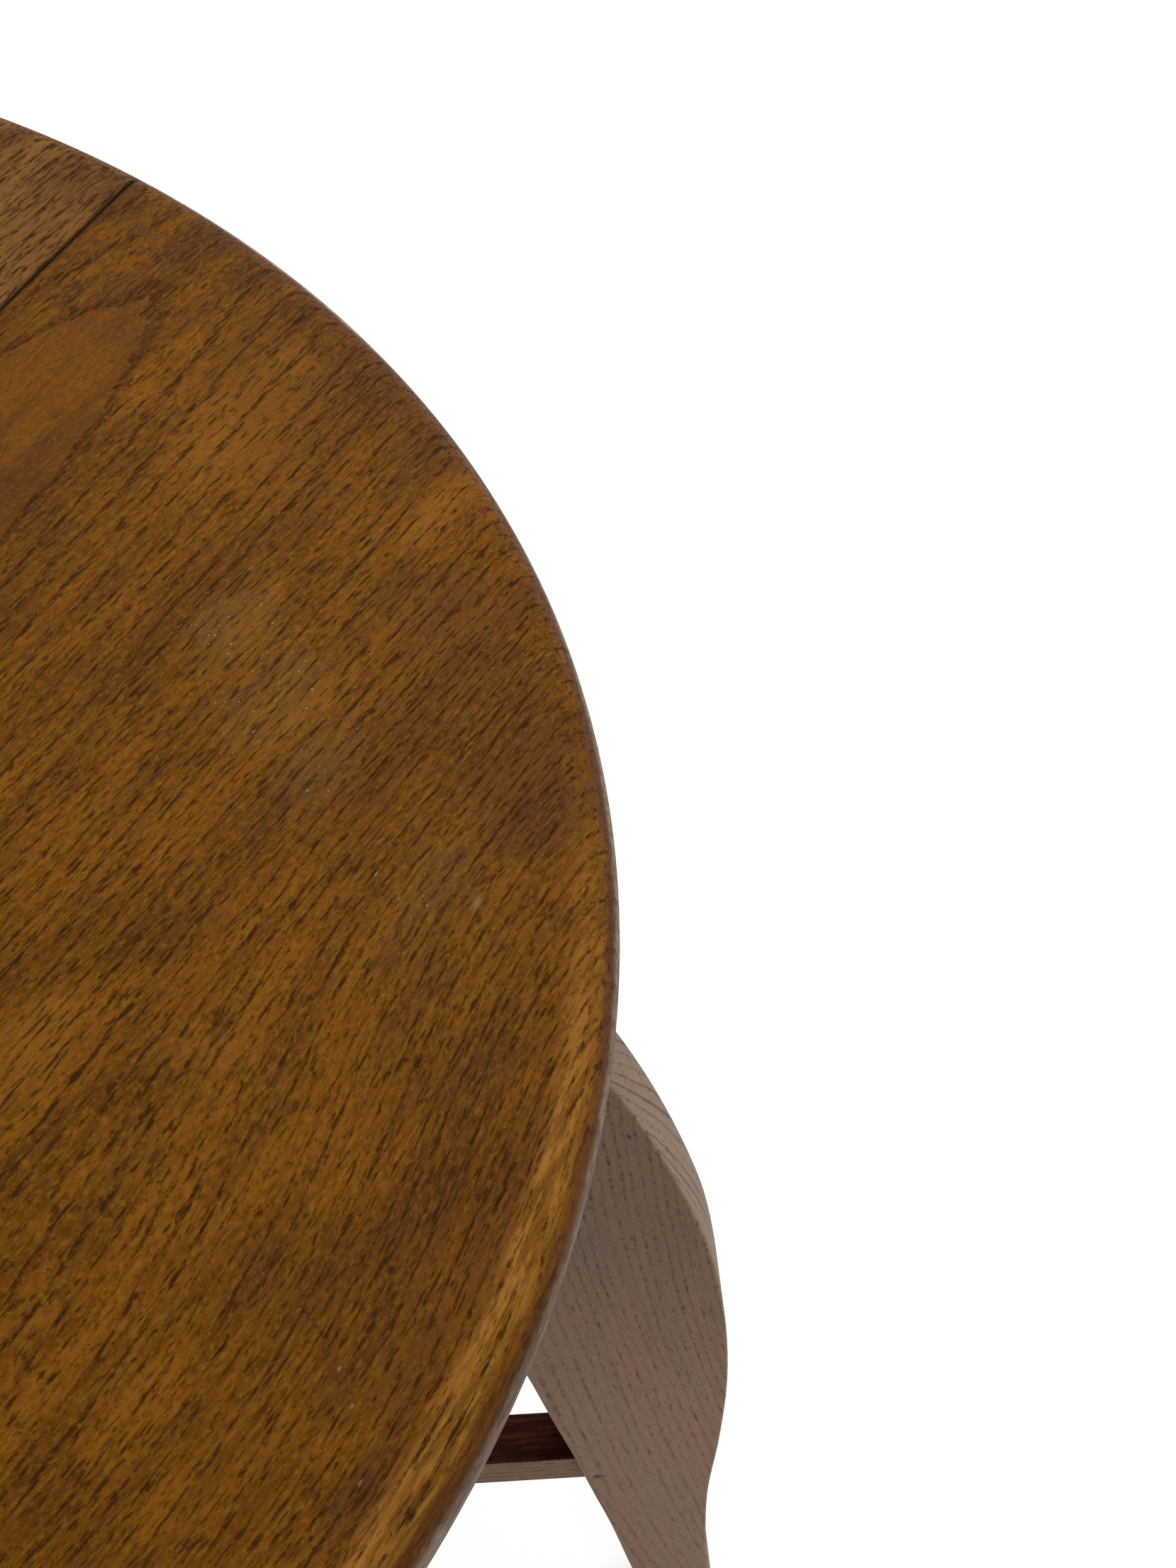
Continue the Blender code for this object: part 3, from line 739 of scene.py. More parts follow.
# %% The marks and the three boards' finishes
FRONT_FADED = (
    (0.2677, -0.1396, 0.050, 0.026, 0.35), (0.2590, -0.2044, 0.024, 0.010, 0.50),
    (0.0512, -0.2081, 0.040, 0.014, 0.40),
)
FRONT_DUST = (
    (0.1776, -0.2018, 0.030, 0.020, 0.75), (0.1946, -0.1783, 0.026, 0.016, 0.9),
    (0.1634, -0.2230, 0.026, 0.014, 0.65), (0.1430, -0.2680, 0.030, 0.012, 0.5),
)
FRONT_MARKS = (
    (0.140, -0.270, 0.042, 0.030, 0.16), (0.2843, -0.0675, 0.014, 0.007, 0.95),
    (0.2949, -0.0715, 0.012, 0.006, 0.70), (0.3228, -0.0850, 0.020, 0.016, 0.90),
    (0.3171, -0.1065, 0.016, 0.012, 0.85), (0.3284, -0.0579, 0.018, 0.014, 0.65),
    (0.3137, -0.1263, 0.016, 0.010, 0.60), (0.300, -0.160, 0.034, 0.012, 0.65),
    (0.272, -0.190, 0.030, 0.010, 0.60), (0.176, -0.280, 0.024, 0.014, 0.75),
    (0.150, -0.268, 0.020, 0.007, 0.45), (0.105, -0.302, 0.030, 0.010, 0.48),
    (0.064, -0.310, 0.036, 0.009, 0.56), (0.030, -0.318, 0.030, 0.007, 0.48),
    (0.165, -0.120, 0.020, 0.010, 0.50), (0.1164, -0.2821, 0.009, 0.004, 0.80),
    (-0.0035, -0.3340, 0.014, 0.007, 0.80), (0.0745, -0.3227, 0.014, 0.006, 0.60),
)
FRONT_KNOTS = (
    (0.0456, -0.3121, 0.0017, 0.0014, 1.0), (0.0957, -0.2870, 0.0014, 0.0013, 1.0),
    (0.1265, -0.2173, 0.0020, 0.0012, 0.9), (0.0246, -0.3079, 0.0012, 0.0009, 0.9),
    *((0.0281 - 0.00088 * step, -0.2995 - 0.00178 * step, 0.0006, 0.0014, 0.8)
      for step in range(5)),
)
FRONT_FLECKS = (
    (0.0190, -0.3144, 0.0011, 0.00035, 0.35), (0.0127, -0.3214, 0.0009, 0.00035, 0.25),
    (-0.0018, -0.3319, 0.0012, 0.0004, 0.30), (0.1401, -0.2532, 0.0010, 0.00035, 0.35),
    (0.1362, -0.2620, 0.0009, 0.00035, 0.30), (0.1442, -0.2792, 0.0030, 0.0014, 0.10),
)
board_finishes = {
    "top_board_front": stained_oak(
        "stained_oak_front", 52.6, (-0.061, -0.0860), 0.05, 0.001, 0.0036, 0.26, 0.0,
        (0.600, 0.51), (0.21, -0.20, -0.285), 0.1009, FRONT_FADED, FRONT_DUST, FRONT_MARKS,
        FRONT_KNOTS, FRONT_FLECKS),
    "top_board_middle": stained_oak(
        "stained_oak_middle", 54.0, (0.060, -0.110), -0.03, 0.008, 0.0026, 0.5, 0.5,
        (0.575, 0.50)),
    "top_board_back": stained_oak(
        "stained_oak_back", 59.5, (0.250, -0.070), 0.04, 0.006, 0.0034, 0.4, 0.2, (0.60, 0.52)),
}
print("board finishes:", [m.name for m in board_finishes.values()])

# %% [markdown]
# ## Washed oak for the legs and bars
#
# The legs were washed with a thin grey that leaves the wood pale, with dark open pores in rows,
# faint pink streaks and darker early wood. On the legs, light is painted on the lower part and
# shade is painted at the top, just under the table top. A leg is sawn from a straight board,
# so its curved outer edge cuts across the rings and shows them as a fan of lines, while they run
# along its broad faces. Each leg carries two attributes: where each spot lies in the board it
# was sawn from, and how far the spot is from the two narrow edges. The bars under the table
# are straight, so object coordinates do the same for them.

# %% The washed finish
WASHED = (0.277, 0.178, 0.114, 1)
WASHED_PINK = (0.326, 0.179, 0.131, 1)
WASHED_GREY = (0.235, 0.157, 0.104, 1)
# Lighter tones for the painted light on the lower part of the legs.
WASHED_LIT_GREY = (0.352, 0.240, 0.166, 1)
WASHED_LIT_PINK = (0.402, 0.236, 0.170, 1)
WASHED_EDGE = (0.385, 0.292, 0.208, 1)
# Dark washed tone, for early wood and grain marks, and for the painted shade at the top of the
# legs.
WASHED_DARK_AND_SHADE = (0.130, 0.084, 0.056, 1)
WASHED_PORE = (0.042, 0.026, 0.018, 1)
WASHED_RUBBED = (0.400, 0.305, 0.230, 1)
DARK_STAIN = (0.026, 0.007, 0.004, 1)
DARK_STREAK = (0.066, 0.017, 0.008, 1)
PALE_SHINE = (1.0, 0.85, 0.72, 1)
WASHED_SHINE = 0.12
WASHED_RING = 0.0023
WASHED_PORE_LENGTH = 0.009
LEG_PORE_START = 0.0012
LEG_PORE_GROWTH = 0.030
CORNER_FADE = (0.0002, 0.0010)


def lay_washed_oak(recipe, shader, grain, gap_a, gap_b, pith, line_limits, pore_x=None,
                   drop=None, dark=None):
    """Lays the washed finish. Gap A is the distance to the narrow faces, gap B to the broad ones.

    Line limits: how strong the ring lines are on the narrow faces, and on the broad ones.
    """
    rings = recipe.group(oak_rings, {
        "Vector": grain, "Ring Width": WASHED_RING, "Pith Across": pith[0],
        "Pith Depth": pith[1], "Taper": 0.01, "Sway": 0.005, "Ripple": 0.0010,
        "Early Share": 0.38})
    early = rings["Early Wood"]
    mottle, fibres, _dashes, strokes, bands, clouds = map(
        recipe.group(oak_fibres, {"Vector": grain}).get, FIBRE_SCALES)
    x, _y, z = recipe.split(grain)
    pores = recipe.group(oak_pores, {
        "Vector": recipe.join(pore_x or x, rings["Reach"], z), "Length": WASHED_PORE_LENGTH,
        "Width": WASHED_RING / 2, "Size": 0.46,
        "Crowding": early.fade(0.05, 0.32, 0.05, 1.0)})["Pores"]
    rubbed = recipe.group(rubbed_corners, {"Vector": grain, "Gap A": gap_a, "Gap B": gap_b,
                                           "Reach": 0.0008})["Rubbed"]

    colour = recipe.over(recipe.mix(bands.fade(0.35, 0.65), WASHED_GREY, WASHED),
                         (bands.fade(0.52, 0.70, 0.0, 0.6), WASHED_PINK),
                         (clouds.fade(0.48, 0.70, 0.0, 0.5), WASHED_PINK))
    if drop:
        # Painted light: the lower part of the leg is painted lighter.
        lit_lower_colour = recipe.mix(bands.fade(0.38, 0.64), WASHED_LIT_GREY, WASHED_LIT_PINK)
        colour = recipe.over(colour,
                             (drop.fade(0.14, 0.30, 0.0, 0.8), lit_lower_colour),
                             (gap_a.fade(*CORNER_FADE, 0.40, 0.0), WASHED_EDGE),
                             # Painted shade at the top of the leg, just under the table top.
                             (drop.fade(0.010, 0.120, 0.48, 0.0), WASHED_DARK_AND_SHADE))
        pores = pores * drop.fade(0.10, 0.34, 1.0, 0.60)
    colour = recipe.over(
        colour,
        (early.fade(0.25, 0.80) * gap_a.fade(*CORNER_FADE, *line_limits), WASHED_DARK_AND_SHADE),
        (strokes.fade(0.50, 0.75, 0.0, 0.30), WASHED_DARK_AND_SHADE),
        (fibres.fade(0.50, 0.75, 0.0, 0.30), WASHED_DARK_AND_SHADE),
        (mottle.fade(0.48, 0.66, 0.0, 0.30), WASHED_DARK_AND_SHADE),
        (rubbed * 0.4, WASHED_RUBBED))
    shine = WASHED_SHINE
    if dark:
        colour = recipe.mix(dark, colour,
                            recipe.mix(strokes.fade(0.44, 0.62), DARK_STAIN, DARK_STREAK))
        shine = dark.fade(0.0, 1.0, WASHED_SHINE, WASHED_SHINE / 5)
    colour = recipe.mix(pores * 0.9, colour, WASHED_PORE)
    height = fibres * 0.5 - pores - early * 0.25
    finish_shader(recipe, shader, colour, bands.fade(0.3, 0.7, 0.58, 0.70),
                  (0.8, 0.0002, height), Specular_IOR_Level=shine, Specular_Tint=PALE_SHINE)


leg_low, leg_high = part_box("leg_right")
plank_half = (leg_high.y - leg_low.y) / 2


def leg_finish():
    """Pores grow longer down the leg, so the way down is counted in pores: the log of the drop."""
    recipe, shader, material = new_material("washed_oak_legs")
    grain = recipe.attribute("grain")
    outer_gap, inner_gap, drop = recipe.split(recipe.attribute("edge_gap"))
    x, _y, z = recipe.split(grain)
    pore_count = recipe.math("LOGARITHM", drop * LEG_PORE_GROWTH + LEG_PORE_START, math.e)
    pore_x = pore_count * (WASHED_PORE_LENGTH / LEG_PORE_GROWTH) + (x - drop)
    lay_washed_oak(recipe, shader, grain, outer_gap.least(inner_gap), plank_half - abs(z),
                   (-0.10, 0.07), (0.65, 0.20), pore_x, drop)
    return material


def middle_of(node):
    low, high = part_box(node)
    return (low + high) / 2


def bar_finish(name, node, quarter, stained_above):
    """Washed oak for a straight bar; its top face is stained dark where stained_above is set."""
    low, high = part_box(node)
    width, depth, height = high - low
    recipe, shader, material = new_material(name)
    place = recipe.place()
    grain = recipe.cells(place, ONE, quarter * math.pi / 2, (0, 0, middle_of(node).z))
    _x, y, z = recipe.split(grain)
    dark = None
    if stained_above:
        ragged = recipe.clouds(place, (0.006,) * 3) * 0.0012 + z
        dark = ragged.fade(height / 2 - 0.0010, height / 2 + 0.0002)
    lay_washed_oak(recipe, shader, grain, min(width, depth) / 2 - abs(y), height / 2 - abs(z),
                   (0.03, -0.06), (0.25, 0.20), dark=dark)
    return material


washed_oak_legs = leg_finish()
bar_finishes = {}
for bar, finish in (("rail", "washed_oak"), ("stretcher", "dark_oak")):
    for quarter, node in enumerate((bar + "_along_x", bar + "_along_y")):
        bar_finishes[node] = bar_finish(finish + "_" + node, node, quarter, finish == "dark_oak")
print("washed finishes:", washed_oak_legs.name, [m.name for m in bar_finishes.values()])

# %% [markdown]
# ## Beech, zinc and nylon
#
# The small parts are plain but not flat. Beech is pale with short brown flecks. Zinc plate is
# cloudy and a little rough, with fine turning lines. The pins beside the stretchers show as
# small dark dots in the photo, so their steel is aged. Moulded nylon has a fine pebble, and is
# scuffed where it slides on the floor.

# %% Finishes of the small parts
BEECH = ((0.46, 0.300, 0.170, 1), (0.38, 0.235, 0.125, 1), (0.22, 0.115, 0.055, 1))
ZINC = ((0.50, 0.50, 0.47, 1), (0.62, 0.61, 0.57, 1), (0.24, 0.20, 0.15, 1))
AGED = ((0.060, 0.045, 0.036, 1), (0.100, 0.082, 0.070, 1), (0.030, 0.017, 0.010, 1))
NYLON = ((0.026, 0.026, 0.028, 1), (0.038, 0.038, 0.040, 1), (0.14, 0.14, 0.14, 1))


def own_place(recipe):
    return recipe.attribute("own_place")


def board_place(recipe):
    return recipe.cells(recipe.place(), ONE, BOARD_TURN)


def beech_finish(name, place_of):
    recipe, shader, material = new_material(name)
    place = place_of(recipe)
    flecks = recipe.clouds(place, (0.0030, 0.0004, 0.0004))
    tone = recipe.clouds(place, (0.060, 0.006, 0.006), 3.0)
    colour = recipe.over(recipe.mix(tone.fade(0.35, 0.65), *BEECH[:2]),
                         (flecks.fade(0.60, 0.70, 0.0, 0.6), BEECH[2]))
    finish_shader(recipe, shader, colour, tone.fade(0.3, 0.7, 0.55, 0.7),
                  (0.4, 0.0001, flecks), Specular_IOR_Level=0.3)
    return material


def steel_finish(name, tones, smooth):
    """Steel in two cloudy tones with tarnish between; smooth is its lowest roughness."""
    recipe, shader, material = new_material(name)
    place = own_place(recipe)
    cloud = recipe.clouds(place, (0.0015,) * 3, 4.0, 0.6)
    lines = recipe.clouds(place, (0.004, 0.004, 0.00012))
    colour = recipe.over(recipe.mix(cloud.fade(0.35, 0.65), *tones[:2]),
                         (cloud.fade(0.62, 0.75, 0.0, 0.6), tones[2]))
    finish_shader(recipe, shader, colour, cloud.fade(0.3, 0.7, smooth, smooth + 0.18),
                  (0.3, 0.00005, lines), Metallic=1.0)
    return material


def nylon_finish():
    recipe, shader, material = new_material("nylon")
    place = own_place(recipe)
    pebble = recipe.clouds(place, (0.0004,) * 3)
    low = recipe.split(place)[2].fade(0.0, 0.0015, 1.0, 0.0)
    wear_and_highlight = low * recipe.clouds(place, (0.003, 0.0004, 0.003), 3.0, 0.6).fade(0.4, 0.6)
    colour = recipe.over(recipe.mix(pebble, *NYLON[:2]), (wear_and_highlight, NYLON[2]))
    finish_shader(recipe, shader, colour, wear_and_highlight * 0.2 + 0.5, (0.4, 0.0001, pebble))
    return material


beech_tongues = beech_finish("beech_tongues", board_place)
beech_pegs = beech_finish("beech_pegs", own_place)
zinc_steel = steel_finish("zinc_steel", ZINC, 0.30)
aged_steel = steel_finish("aged_steel", AGED, 0.50)
nylon = nylon_finish()
print("small finishes:",
      [m.name for m in (beech_tongues, beech_pegs, zinc_steel, aged_steel, nylon)])

# %% [markdown]
# ## Tools for the fine pieces
#
# Every fine piece ends as a plain mesh whose place is in its points. Holes are cut with the
# very pieces that go in them, or with a slightly wider rod, so a peg sits in a real hole with
# a fine dark line round it. Large flat faces keep true normals beside small rounded edges
# when normals are weighted by area, so that step closes each wooden piece.

# %% Making, cutting and dressing
WOOD_SHARP_DEG = 38
TURNED_SHARP_DEG = 32


def bmesh_of(mesh):
    bm = bmesh.new()
    bm.from_mesh(mesh)
    return bm


def mesh_of(name, bm):
    """Ends a bmesh: its faces are turned outwards and kept as a new mesh."""
    bmesh.ops.recalc_face_normals(bm, faces=bm.faces)
    mesh = bpy.data.meshes.new(name)
    bm.to_mesh(mesh)
    bm.free()
    return mesh


def keep_result(piece):
    """Replaces the piece's mesh by what its modifiers make of it."""
    graph = bpy.context.evaluated_depsgraph_get()
    mesh = bpy.data.meshes.new_from_object(piece.evaluated_get(graph))
    piece.modifiers.clear()
    piece.data = mesh
    return piece


def skin(bm, rings):
    """Joins rings of points into a closed skin, with one flat cap at each end."""
    rows = [[bm.verts.new(point) for point in ring] for ring in rings]
    count = len(rows[0])
    for row, next_row in zip(rows, rows[1:]):
        for i in range(count):
            j = (i + 1) % count
            bm.faces.new((row[i], row[j], next_row[j], next_row[i]))
    bm.faces.new(rows[0])
    bm.faces.new(rows[-1])


def node_cutter(name):
    """A merged copy of a CAD node, to cut its seat with."""
    bm = bmesh_of(nodes[name].data)
    bmesh.ops.remove_doubles(bm, verts=bm.verts, dist=1e-6)
    return link_new("cutter_" + name, mesh_of("cutter_" + name, bm))


def cut(piece, cutters):
    for cutter in cutters:
        modifier = piece.modifiers.new(cutter.name, "BOOLEAN")
        modifier.operation = "DIFFERENCE"
        modifier.solver = "EXACT"
        modifier.object = cutter
    keep_result(piece)
    for cutter in cutters:
        bpy.data.objects.remove(cutter, do_unlink=True)


def smooth_round(piece, sharp_deg):
    """Shades a piece smooth where its faces meet at less than the given angle."""
    piece.data.shade_smooth()
    piece.data.set_sharp_from_angle(angle=math.radians(sharp_deg))


def true_normals(piece):
    smooth_round(piece, WOOD_SHARP_DEG)
    modifier = piece.modifiers.new("true_normals", "WEIGHTED_NORMAL")
    modifier.keep_sharp = True
    modifier.weight = 100
    keep_result(piece)


def place_on_table(piece, slot, *replaced):
    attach(piece, "root")
    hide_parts(*replaced)
    print(piece.name, "stands for", ", ".join(replaced), "triangles:",
          sum(len(face.vertices) - 2 for face in piece.data.polygons))


print("edges stay sharp from", WOOD_SHARP_DEG, "degrees on wood, from", TURNED_SHARP_DEG,
      "on turned pieces")

# %% [markdown]
# ## The three boards of the top
#
# The real top is glued up and turned on a lathe or routed round, so its rim is one smooth
# curve through all the boards. The same order is followed here: one fine disc, sliced by the
# seams. Its flat faces are single large faces, which slice cleanly. Each slice then gets the
# groove for its tongue and the holes of its screws, and last a small easing along the seam,
# which is what makes the seam show as a dark, slightly open line.

# %% Slice the disc into boards
TOP_UNDER_ROUND = 0.0110
RIM_SIDES = 384
RIM_ROUND_STEPS = 10
RIM_SUPPORT = 0.0006
SEAM_EASING = 0.0007
SEAM_LIMIT_SHARE = 0.95
GROOVE_END_INSET = 0.02
SEAM_EDGE_DEG = 30
TOUCHING = 1e-5
BOARD_TONGUES = {"top_board_front": ["tongue_front"], "top_board_back": ["tongue_back"],
                 "top_board_middle": ["tongue_front", "tongue_back"]}
screw_nodes = sorted(n for n in nodes if n.startswith("top_screw_"))
board_screws = {board: [screw for screw in screw_nodes
                        if low < across_grain(middle_of(screw)) < high]
                for board, (low, high) in board_spans.items()}


def disc_rings():
    quarter = [math.pi / 2 * step / RIM_ROUND_STEPS for step in range(RIM_ROUND_STEPS + 1)]
    profile = [(rim_radius - TOP_EDGE_ROUND - RIM_SUPPORT, top_z)]
    profile += [(rim_radius - TOP_EDGE_ROUND * (1 - math.sin(a)),
                 top_z - TOP_EDGE_ROUND * (1 - math.cos(a))) for a in quarter]
    profile += [(rim_radius - TOP_UNDER_ROUND * (1 - math.cos(a)),
                 underside_z + TOP_UNDER_ROUND * (1 - math.sin(a))) for a in quarter]
    profile.append((rim_radius - TOP_UNDER_ROUND - RIM_SUPPORT, underside_z))
    turns = [2 * math.pi * side / RIM_SIDES for side in range(RIM_SIDES)]
    return [[(radius * math.cos(a), radius * math.sin(a), z) for a in turns]
            for radius, z in profile]


def ease_seams(piece, offsets):
    """Bevels the outline of each seam face, and leaves its groove sharp."""
    bm = bmesh_of(piece.data)
    edges = []
    for edge in bm.edges:
        on_seam = any(all(abs(across_grain(v.co) - offset) < TOUCHING for v in edge.verts)
                      for offset in offsets)
        middle = (edge.verts[0].co + edge.verts[1].co) / 2
        outline = (abs(middle.z - (top_z + underside_z) / 2) > (top_z - underside_z) / 4
                   or middle.xy.length > rim_radius - GROOVE_END_INSET)
        if on_seam and outline and edge.calc_face_angle(0) > math.radians(SEAM_EDGE_DEG):
            edges.append(edge)
    bmesh.ops.bevel(bm, geom=edges, offset=SEAM_EASING, offset_type="OFFSET", segments=3,
                    profile=0.5, affect="EDGES", clamp_overlap=False)
    piece.data = mesh_of(piece.name, bm)


def make_board(node):
    across = Vector((-math.sin(BOARD_TURN), math.cos(BOARD_TURN), 0))
    bm = bmesh.new()
    skin(bm, disc_rings())
    offsets = []
    for offset, side in zip(board_spans[node], (-1, 1)):
        if abs(offset) < SEAM_LIMIT_SHARE * rim_radius:
            offsets.append(offset)
            bmesh.ops.bisect_plane(bm, geom=bm.verts[:] + bm.edges[:] + bm.faces[:],
                                   plane_co=across * offset, plane_no=across * side,
                                   clear_outer=True)
            bmesh.ops.holes_fill(bm, edges=[edge for edge in bm.edges if edge.is_boundary])
    piece = link_new(node.replace("top_", "stained_"), mesh_of(node, bm))
    cut(piece, [node_cutter(name) for name in BOARD_TONGUES[node] + board_screws[node]])
    ease_seams(piece, offsets)
    piece.data.materials.clear()
    piece.data.materials.append(board_finishes[node])
    true_normals(piece)
    place_on_table(piece, "stained_oak", node)


for node in BOARD_NODES:
    make_board(node)

# %% [markdown]
# ## The legs, made by Geometry Nodes
#
# A leg is a plank whose outline follows one rule: it lies between two curves. That is just
# what Geometry Nodes do well. Rays shot at the CAD leg find its outer and inner edge at many
# heights, and two smooth curves are laid through them. The tree stretches a grid between the
# curves, gives it the plank's thickness and closes it. A bevel then rounds the corners, and
# the holes and mortises are cut.

# %% Measure the leg's two edges
EDGE_SAMPLES = 41
RAY_START = 1.0
RAY_SIDE_SHARE = 0.6


def leg_edge(inward):
    """Points along the CAD leg's outer edge (inward) or its inner edge, from head to foot."""
    points = []
    way = Vector((-1 if inward else 1, 0, 0))
    for sample in range(EDGE_SAMPLES):
        z = leg_high.z + (leg_low.z - leg_high.z) * sample / (EDGE_SAMPLES - 1)
        height = min(max(z, leg_low.z + TOUCHING), leg_high.z - TOUCHING)
        start = Vector((RAY_START if inward else 0.0, RAY_SIDE_SHARE * plank_half, height))
        hit, place, _normal, _face = nodes["leg_right"].ray_cast(start, way)
        assert hit, "the ray missed the leg"
        points.append((place.x, 0.0, z))
    return points


def edge_curve(name, points):
    data = bpy.data.curves.new(name, "CURVE")
    data.dimensions = "3D"
    spline = data.splines.new("POLY")
    spline.points.add(len(points) - 1)
    for target, point in zip(spline.points, points):
        target.co = (*point, 1.0)
    return link_new(name, data)


outer_points, inner_points = leg_edge(True), leg_edge(False)
print("leg width at head and foot:",
      [round(outer_points[i][0] - inner_points[i][0], 4) for i in (0, -1)])

# %% The tree of a plank between two curves
PLANK_ROWS = 161
PLANK_COLUMNS = 9


def run_tree(tree, name, mesh, values):
    """Runs a geometry tree on a mesh and keeps the result as a plain mesh."""
    piece = link_new(name, mesh)
    modifier = piece.modifiers.new(name, "NODES")
    modifier.node_group = tree
    for item in tree.interface.items_tree:
        if item.item_type == "SOCKET" and item.in_out == "INPUT" and item.name in values:
            modifier[item.identifier] = values[item.name]
    return keep_result(piece)


def object_shape(recipe, thing):
    return recipe.out("GeometryNodeObjectInfo", {"Object": thing}, "Geometry")


def joined(recipe, *parts):
    both = recipe.add("GeometryNodeJoinGeometry")
    for part in parts:
        recipe.feed(both.inputs[0], part)
    return both.outputs[0]


def dressed(recipe, given, shape):
    """The end of every tree: real geometry in its finish."""
    real = recipe.out("GeometryNodeRealizeInstances", {"Geometry": shape})
    return recipe.out("GeometryNodeSetMaterial", {"Geometry": real, "Material": given["Finish"]})


def make_plank_tree():
    recipe, given, result = new_tree(GEOMETRY_TREE, "plank_between_curves", {
        "Outer Edge": OBJECT, "Inner Edge": OBJECT, "Thickness": 0.025, "Rows": PLANK_ROWS,
        "Columns": PLANK_COLUMNS, "Finish": MATERIAL}, {"Geometry": GEOMETRY})
    grid = recipe.out("GeometryNodeMeshGrid", {
        "Size X": 1.0, "Size Y": 1.0, "Vertices X": given["Columns"], "Vertices Y": given["Rows"]})
    x, y, _z = recipe.split(recipe.out("GeometryNodeInputPosition"))
    across, along = x + 0.5, y + 0.5
    outer, inner = (recipe.out("GeometryNodeSampleCurve", {
        "Curves": recipe.out("GeometryNodeCurveSplineType", {
            "Curve": object_shape(recipe, given[edge])}, spline_type="CATMULL_ROM"),
        "Factor": along}, "Position", mode="FACTOR") for edge in ("Outer Edge", "Inner Edge"))
    step = recipe.out("ShaderNodeVectorMath", {0: recipe.vector("SUBTRACT", outer, inner),
                                               3: across}, operation="SCALE")
    flat = recipe.out("GeometryNodeSetPosition", {
        "Geometry": grid, "Position": recipe.vector("ADD", inner, step),
        "Offset": recipe.join(0.0, given["Thickness"] * -0.5, 0.0)})
    thick = recipe.out("GeometryNodeExtrudeMesh", {
        "Mesh": flat, "Offset": (0.0, 1.0, 0.0), "Offset Scale": given["Thickness"],
        "Individual": False})
    closed = joined(recipe, thick, recipe.out("GeometryNodeFlipFaces", {0: flat}))
    merged = recipe.out("GeometryNodeMergeByDistance", {"Geometry": closed,
                                                        "Distance": TOUCHING})
    recipe.feed(result[0], dressed(recipe, given, merged))
    return recipe.tree


plank_tree = make_plank_tree()
print("tree:", plank_tree.name)

# %% Make one leg and stand it at each corner
PLANK_EDGE_ROUND = 0.0010
HOLE_CLEARANCE = 0.00015
HOLE_OVERRUN = 0.01
HOLE_SIDES = 48
LEAN_START = 0.09
LEAN_GROWTH = 0.34
BOARD_CENTRE = 0.35
BOARD_SHIFT = 0.9
QUARTERS = ("right", "back", "left", "front")


def round_corners(piece):
    modifier = piece.modifiers.new("round_corners", "BEVEL")
    modifier.width = PLANK_EDGE_ROUND
    modifier.segments = 4
    modifier.limit_method = "ANGLE"
    modifier.angle_limit = math.radians(40)
    keep_result(piece)


def hole_cutter(node, overrun):
    """A rod slightly wider than a CAD peg or pin, along Y; overrun is how far it goes on."""
    low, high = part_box(node)
    radius = (high.x - low.x) / 2 + HOLE_CLEARANCE
    middle = middle_of(node)
    start = Vector((middle.x, low.y - HOLE_OVERRUN, middle.z))
    end = Vector((middle.x, high.y + overrun, middle.z))
    turn = (end - start).to_track_quat("Z", "Y").to_matrix().to_4x4()
    bm = bmesh.new()
    bmesh.ops.create_cone(bm, cap_ends=True, segments=HOLE_SIDES, radius1=radius, radius2=radius,
                          depth=(end - start).length,
                          matrix=Matrix.Translation((start + end) / 2) @ turn)
    return link_new("cutter_" + node, mesh_of("cutter_" + node, bm))


def edge_at(points, z):
    """Reach of an edge at height z, on straight lines between its points."""
    share = (leg_high.z - z) / (leg_high.z - leg_low.z) * (len(points) - 1)
    index = min(max(int(share), 0), len(points) - 2)
    a, b = points[index][0], points[index + 1][0]
    return a + (b - a) * (share - index)


def write_grain(mesh, shift):
    """Stores each spot's place in the board it was sawn from, its gaps to the edges, its drop."""
    grain = mesh.attributes.new("grain", "FLOAT_VECTOR", "POINT")
    edge_gap = mesh.attributes.new("edge_gap", "FLOAT_VECTOR", "POINT")
    for index, vertex in enumerate(mesh.vertices):
        x, y, z = vertex.co
        drop = leg_high.z - z
        lean = LEAN_START * drop + LEAN_GROWTH * drop ** 2
        grain.data[index].vector = (drop + shift, x - lean - BOARD_CENTRE, y)
        edge_gap.data[index].vector = (edge_at(outer_points, z) - x,
                                       x - edge_at(inner_points, z), drop)


def make_legs():
    curves = [edge_curve("outer_edge", outer_points), edge_curve("inner_edge", inner_points)]
    plank = run_tree(plank_tree, "plank", bpy.data.meshes.new("plank"), {
        "Outer Edge": curves[0], "Inner Edge": curves[1], "Thickness": 2 * plank_half,
        "Rows": PLANK_ROWS, "Columns": PLANK_COLUMNS, "Finish": washed_oak_legs})
    for curve in curves:
        bpy.data.objects.remove(curve, do_unlink=True)
    plank.data = mesh_of("plank", bmesh_of(plank.data))
    plank.data.materials.append(washed_oak_legs)
    round_corners(plank)
    cut(plank, [hole_cutter("peg_right", HOLE_OVERRUN), hole_cutter("pin_right", HOLE_CLEARANCE),
                *map(node_cutter, ("rail_along_x", "stretcher_along_x", "glide_right"))])
    true_normals(plank)
    for quarter, name in enumerate(QUARTERS):
        mesh = plank.data.copy()
        write_grain(mesh, BOARD_SHIFT * quarter)
        mesh.transform(Matrix.Rotation(quarter * math.pi / 2, 4, "Z"))
        place_on_table(link_new("plank_leg_" + name, mesh), "bleached_oak", "leg_" + name)
    bpy.data.objects.remove(plank, do_unlink=True)


make_legs()

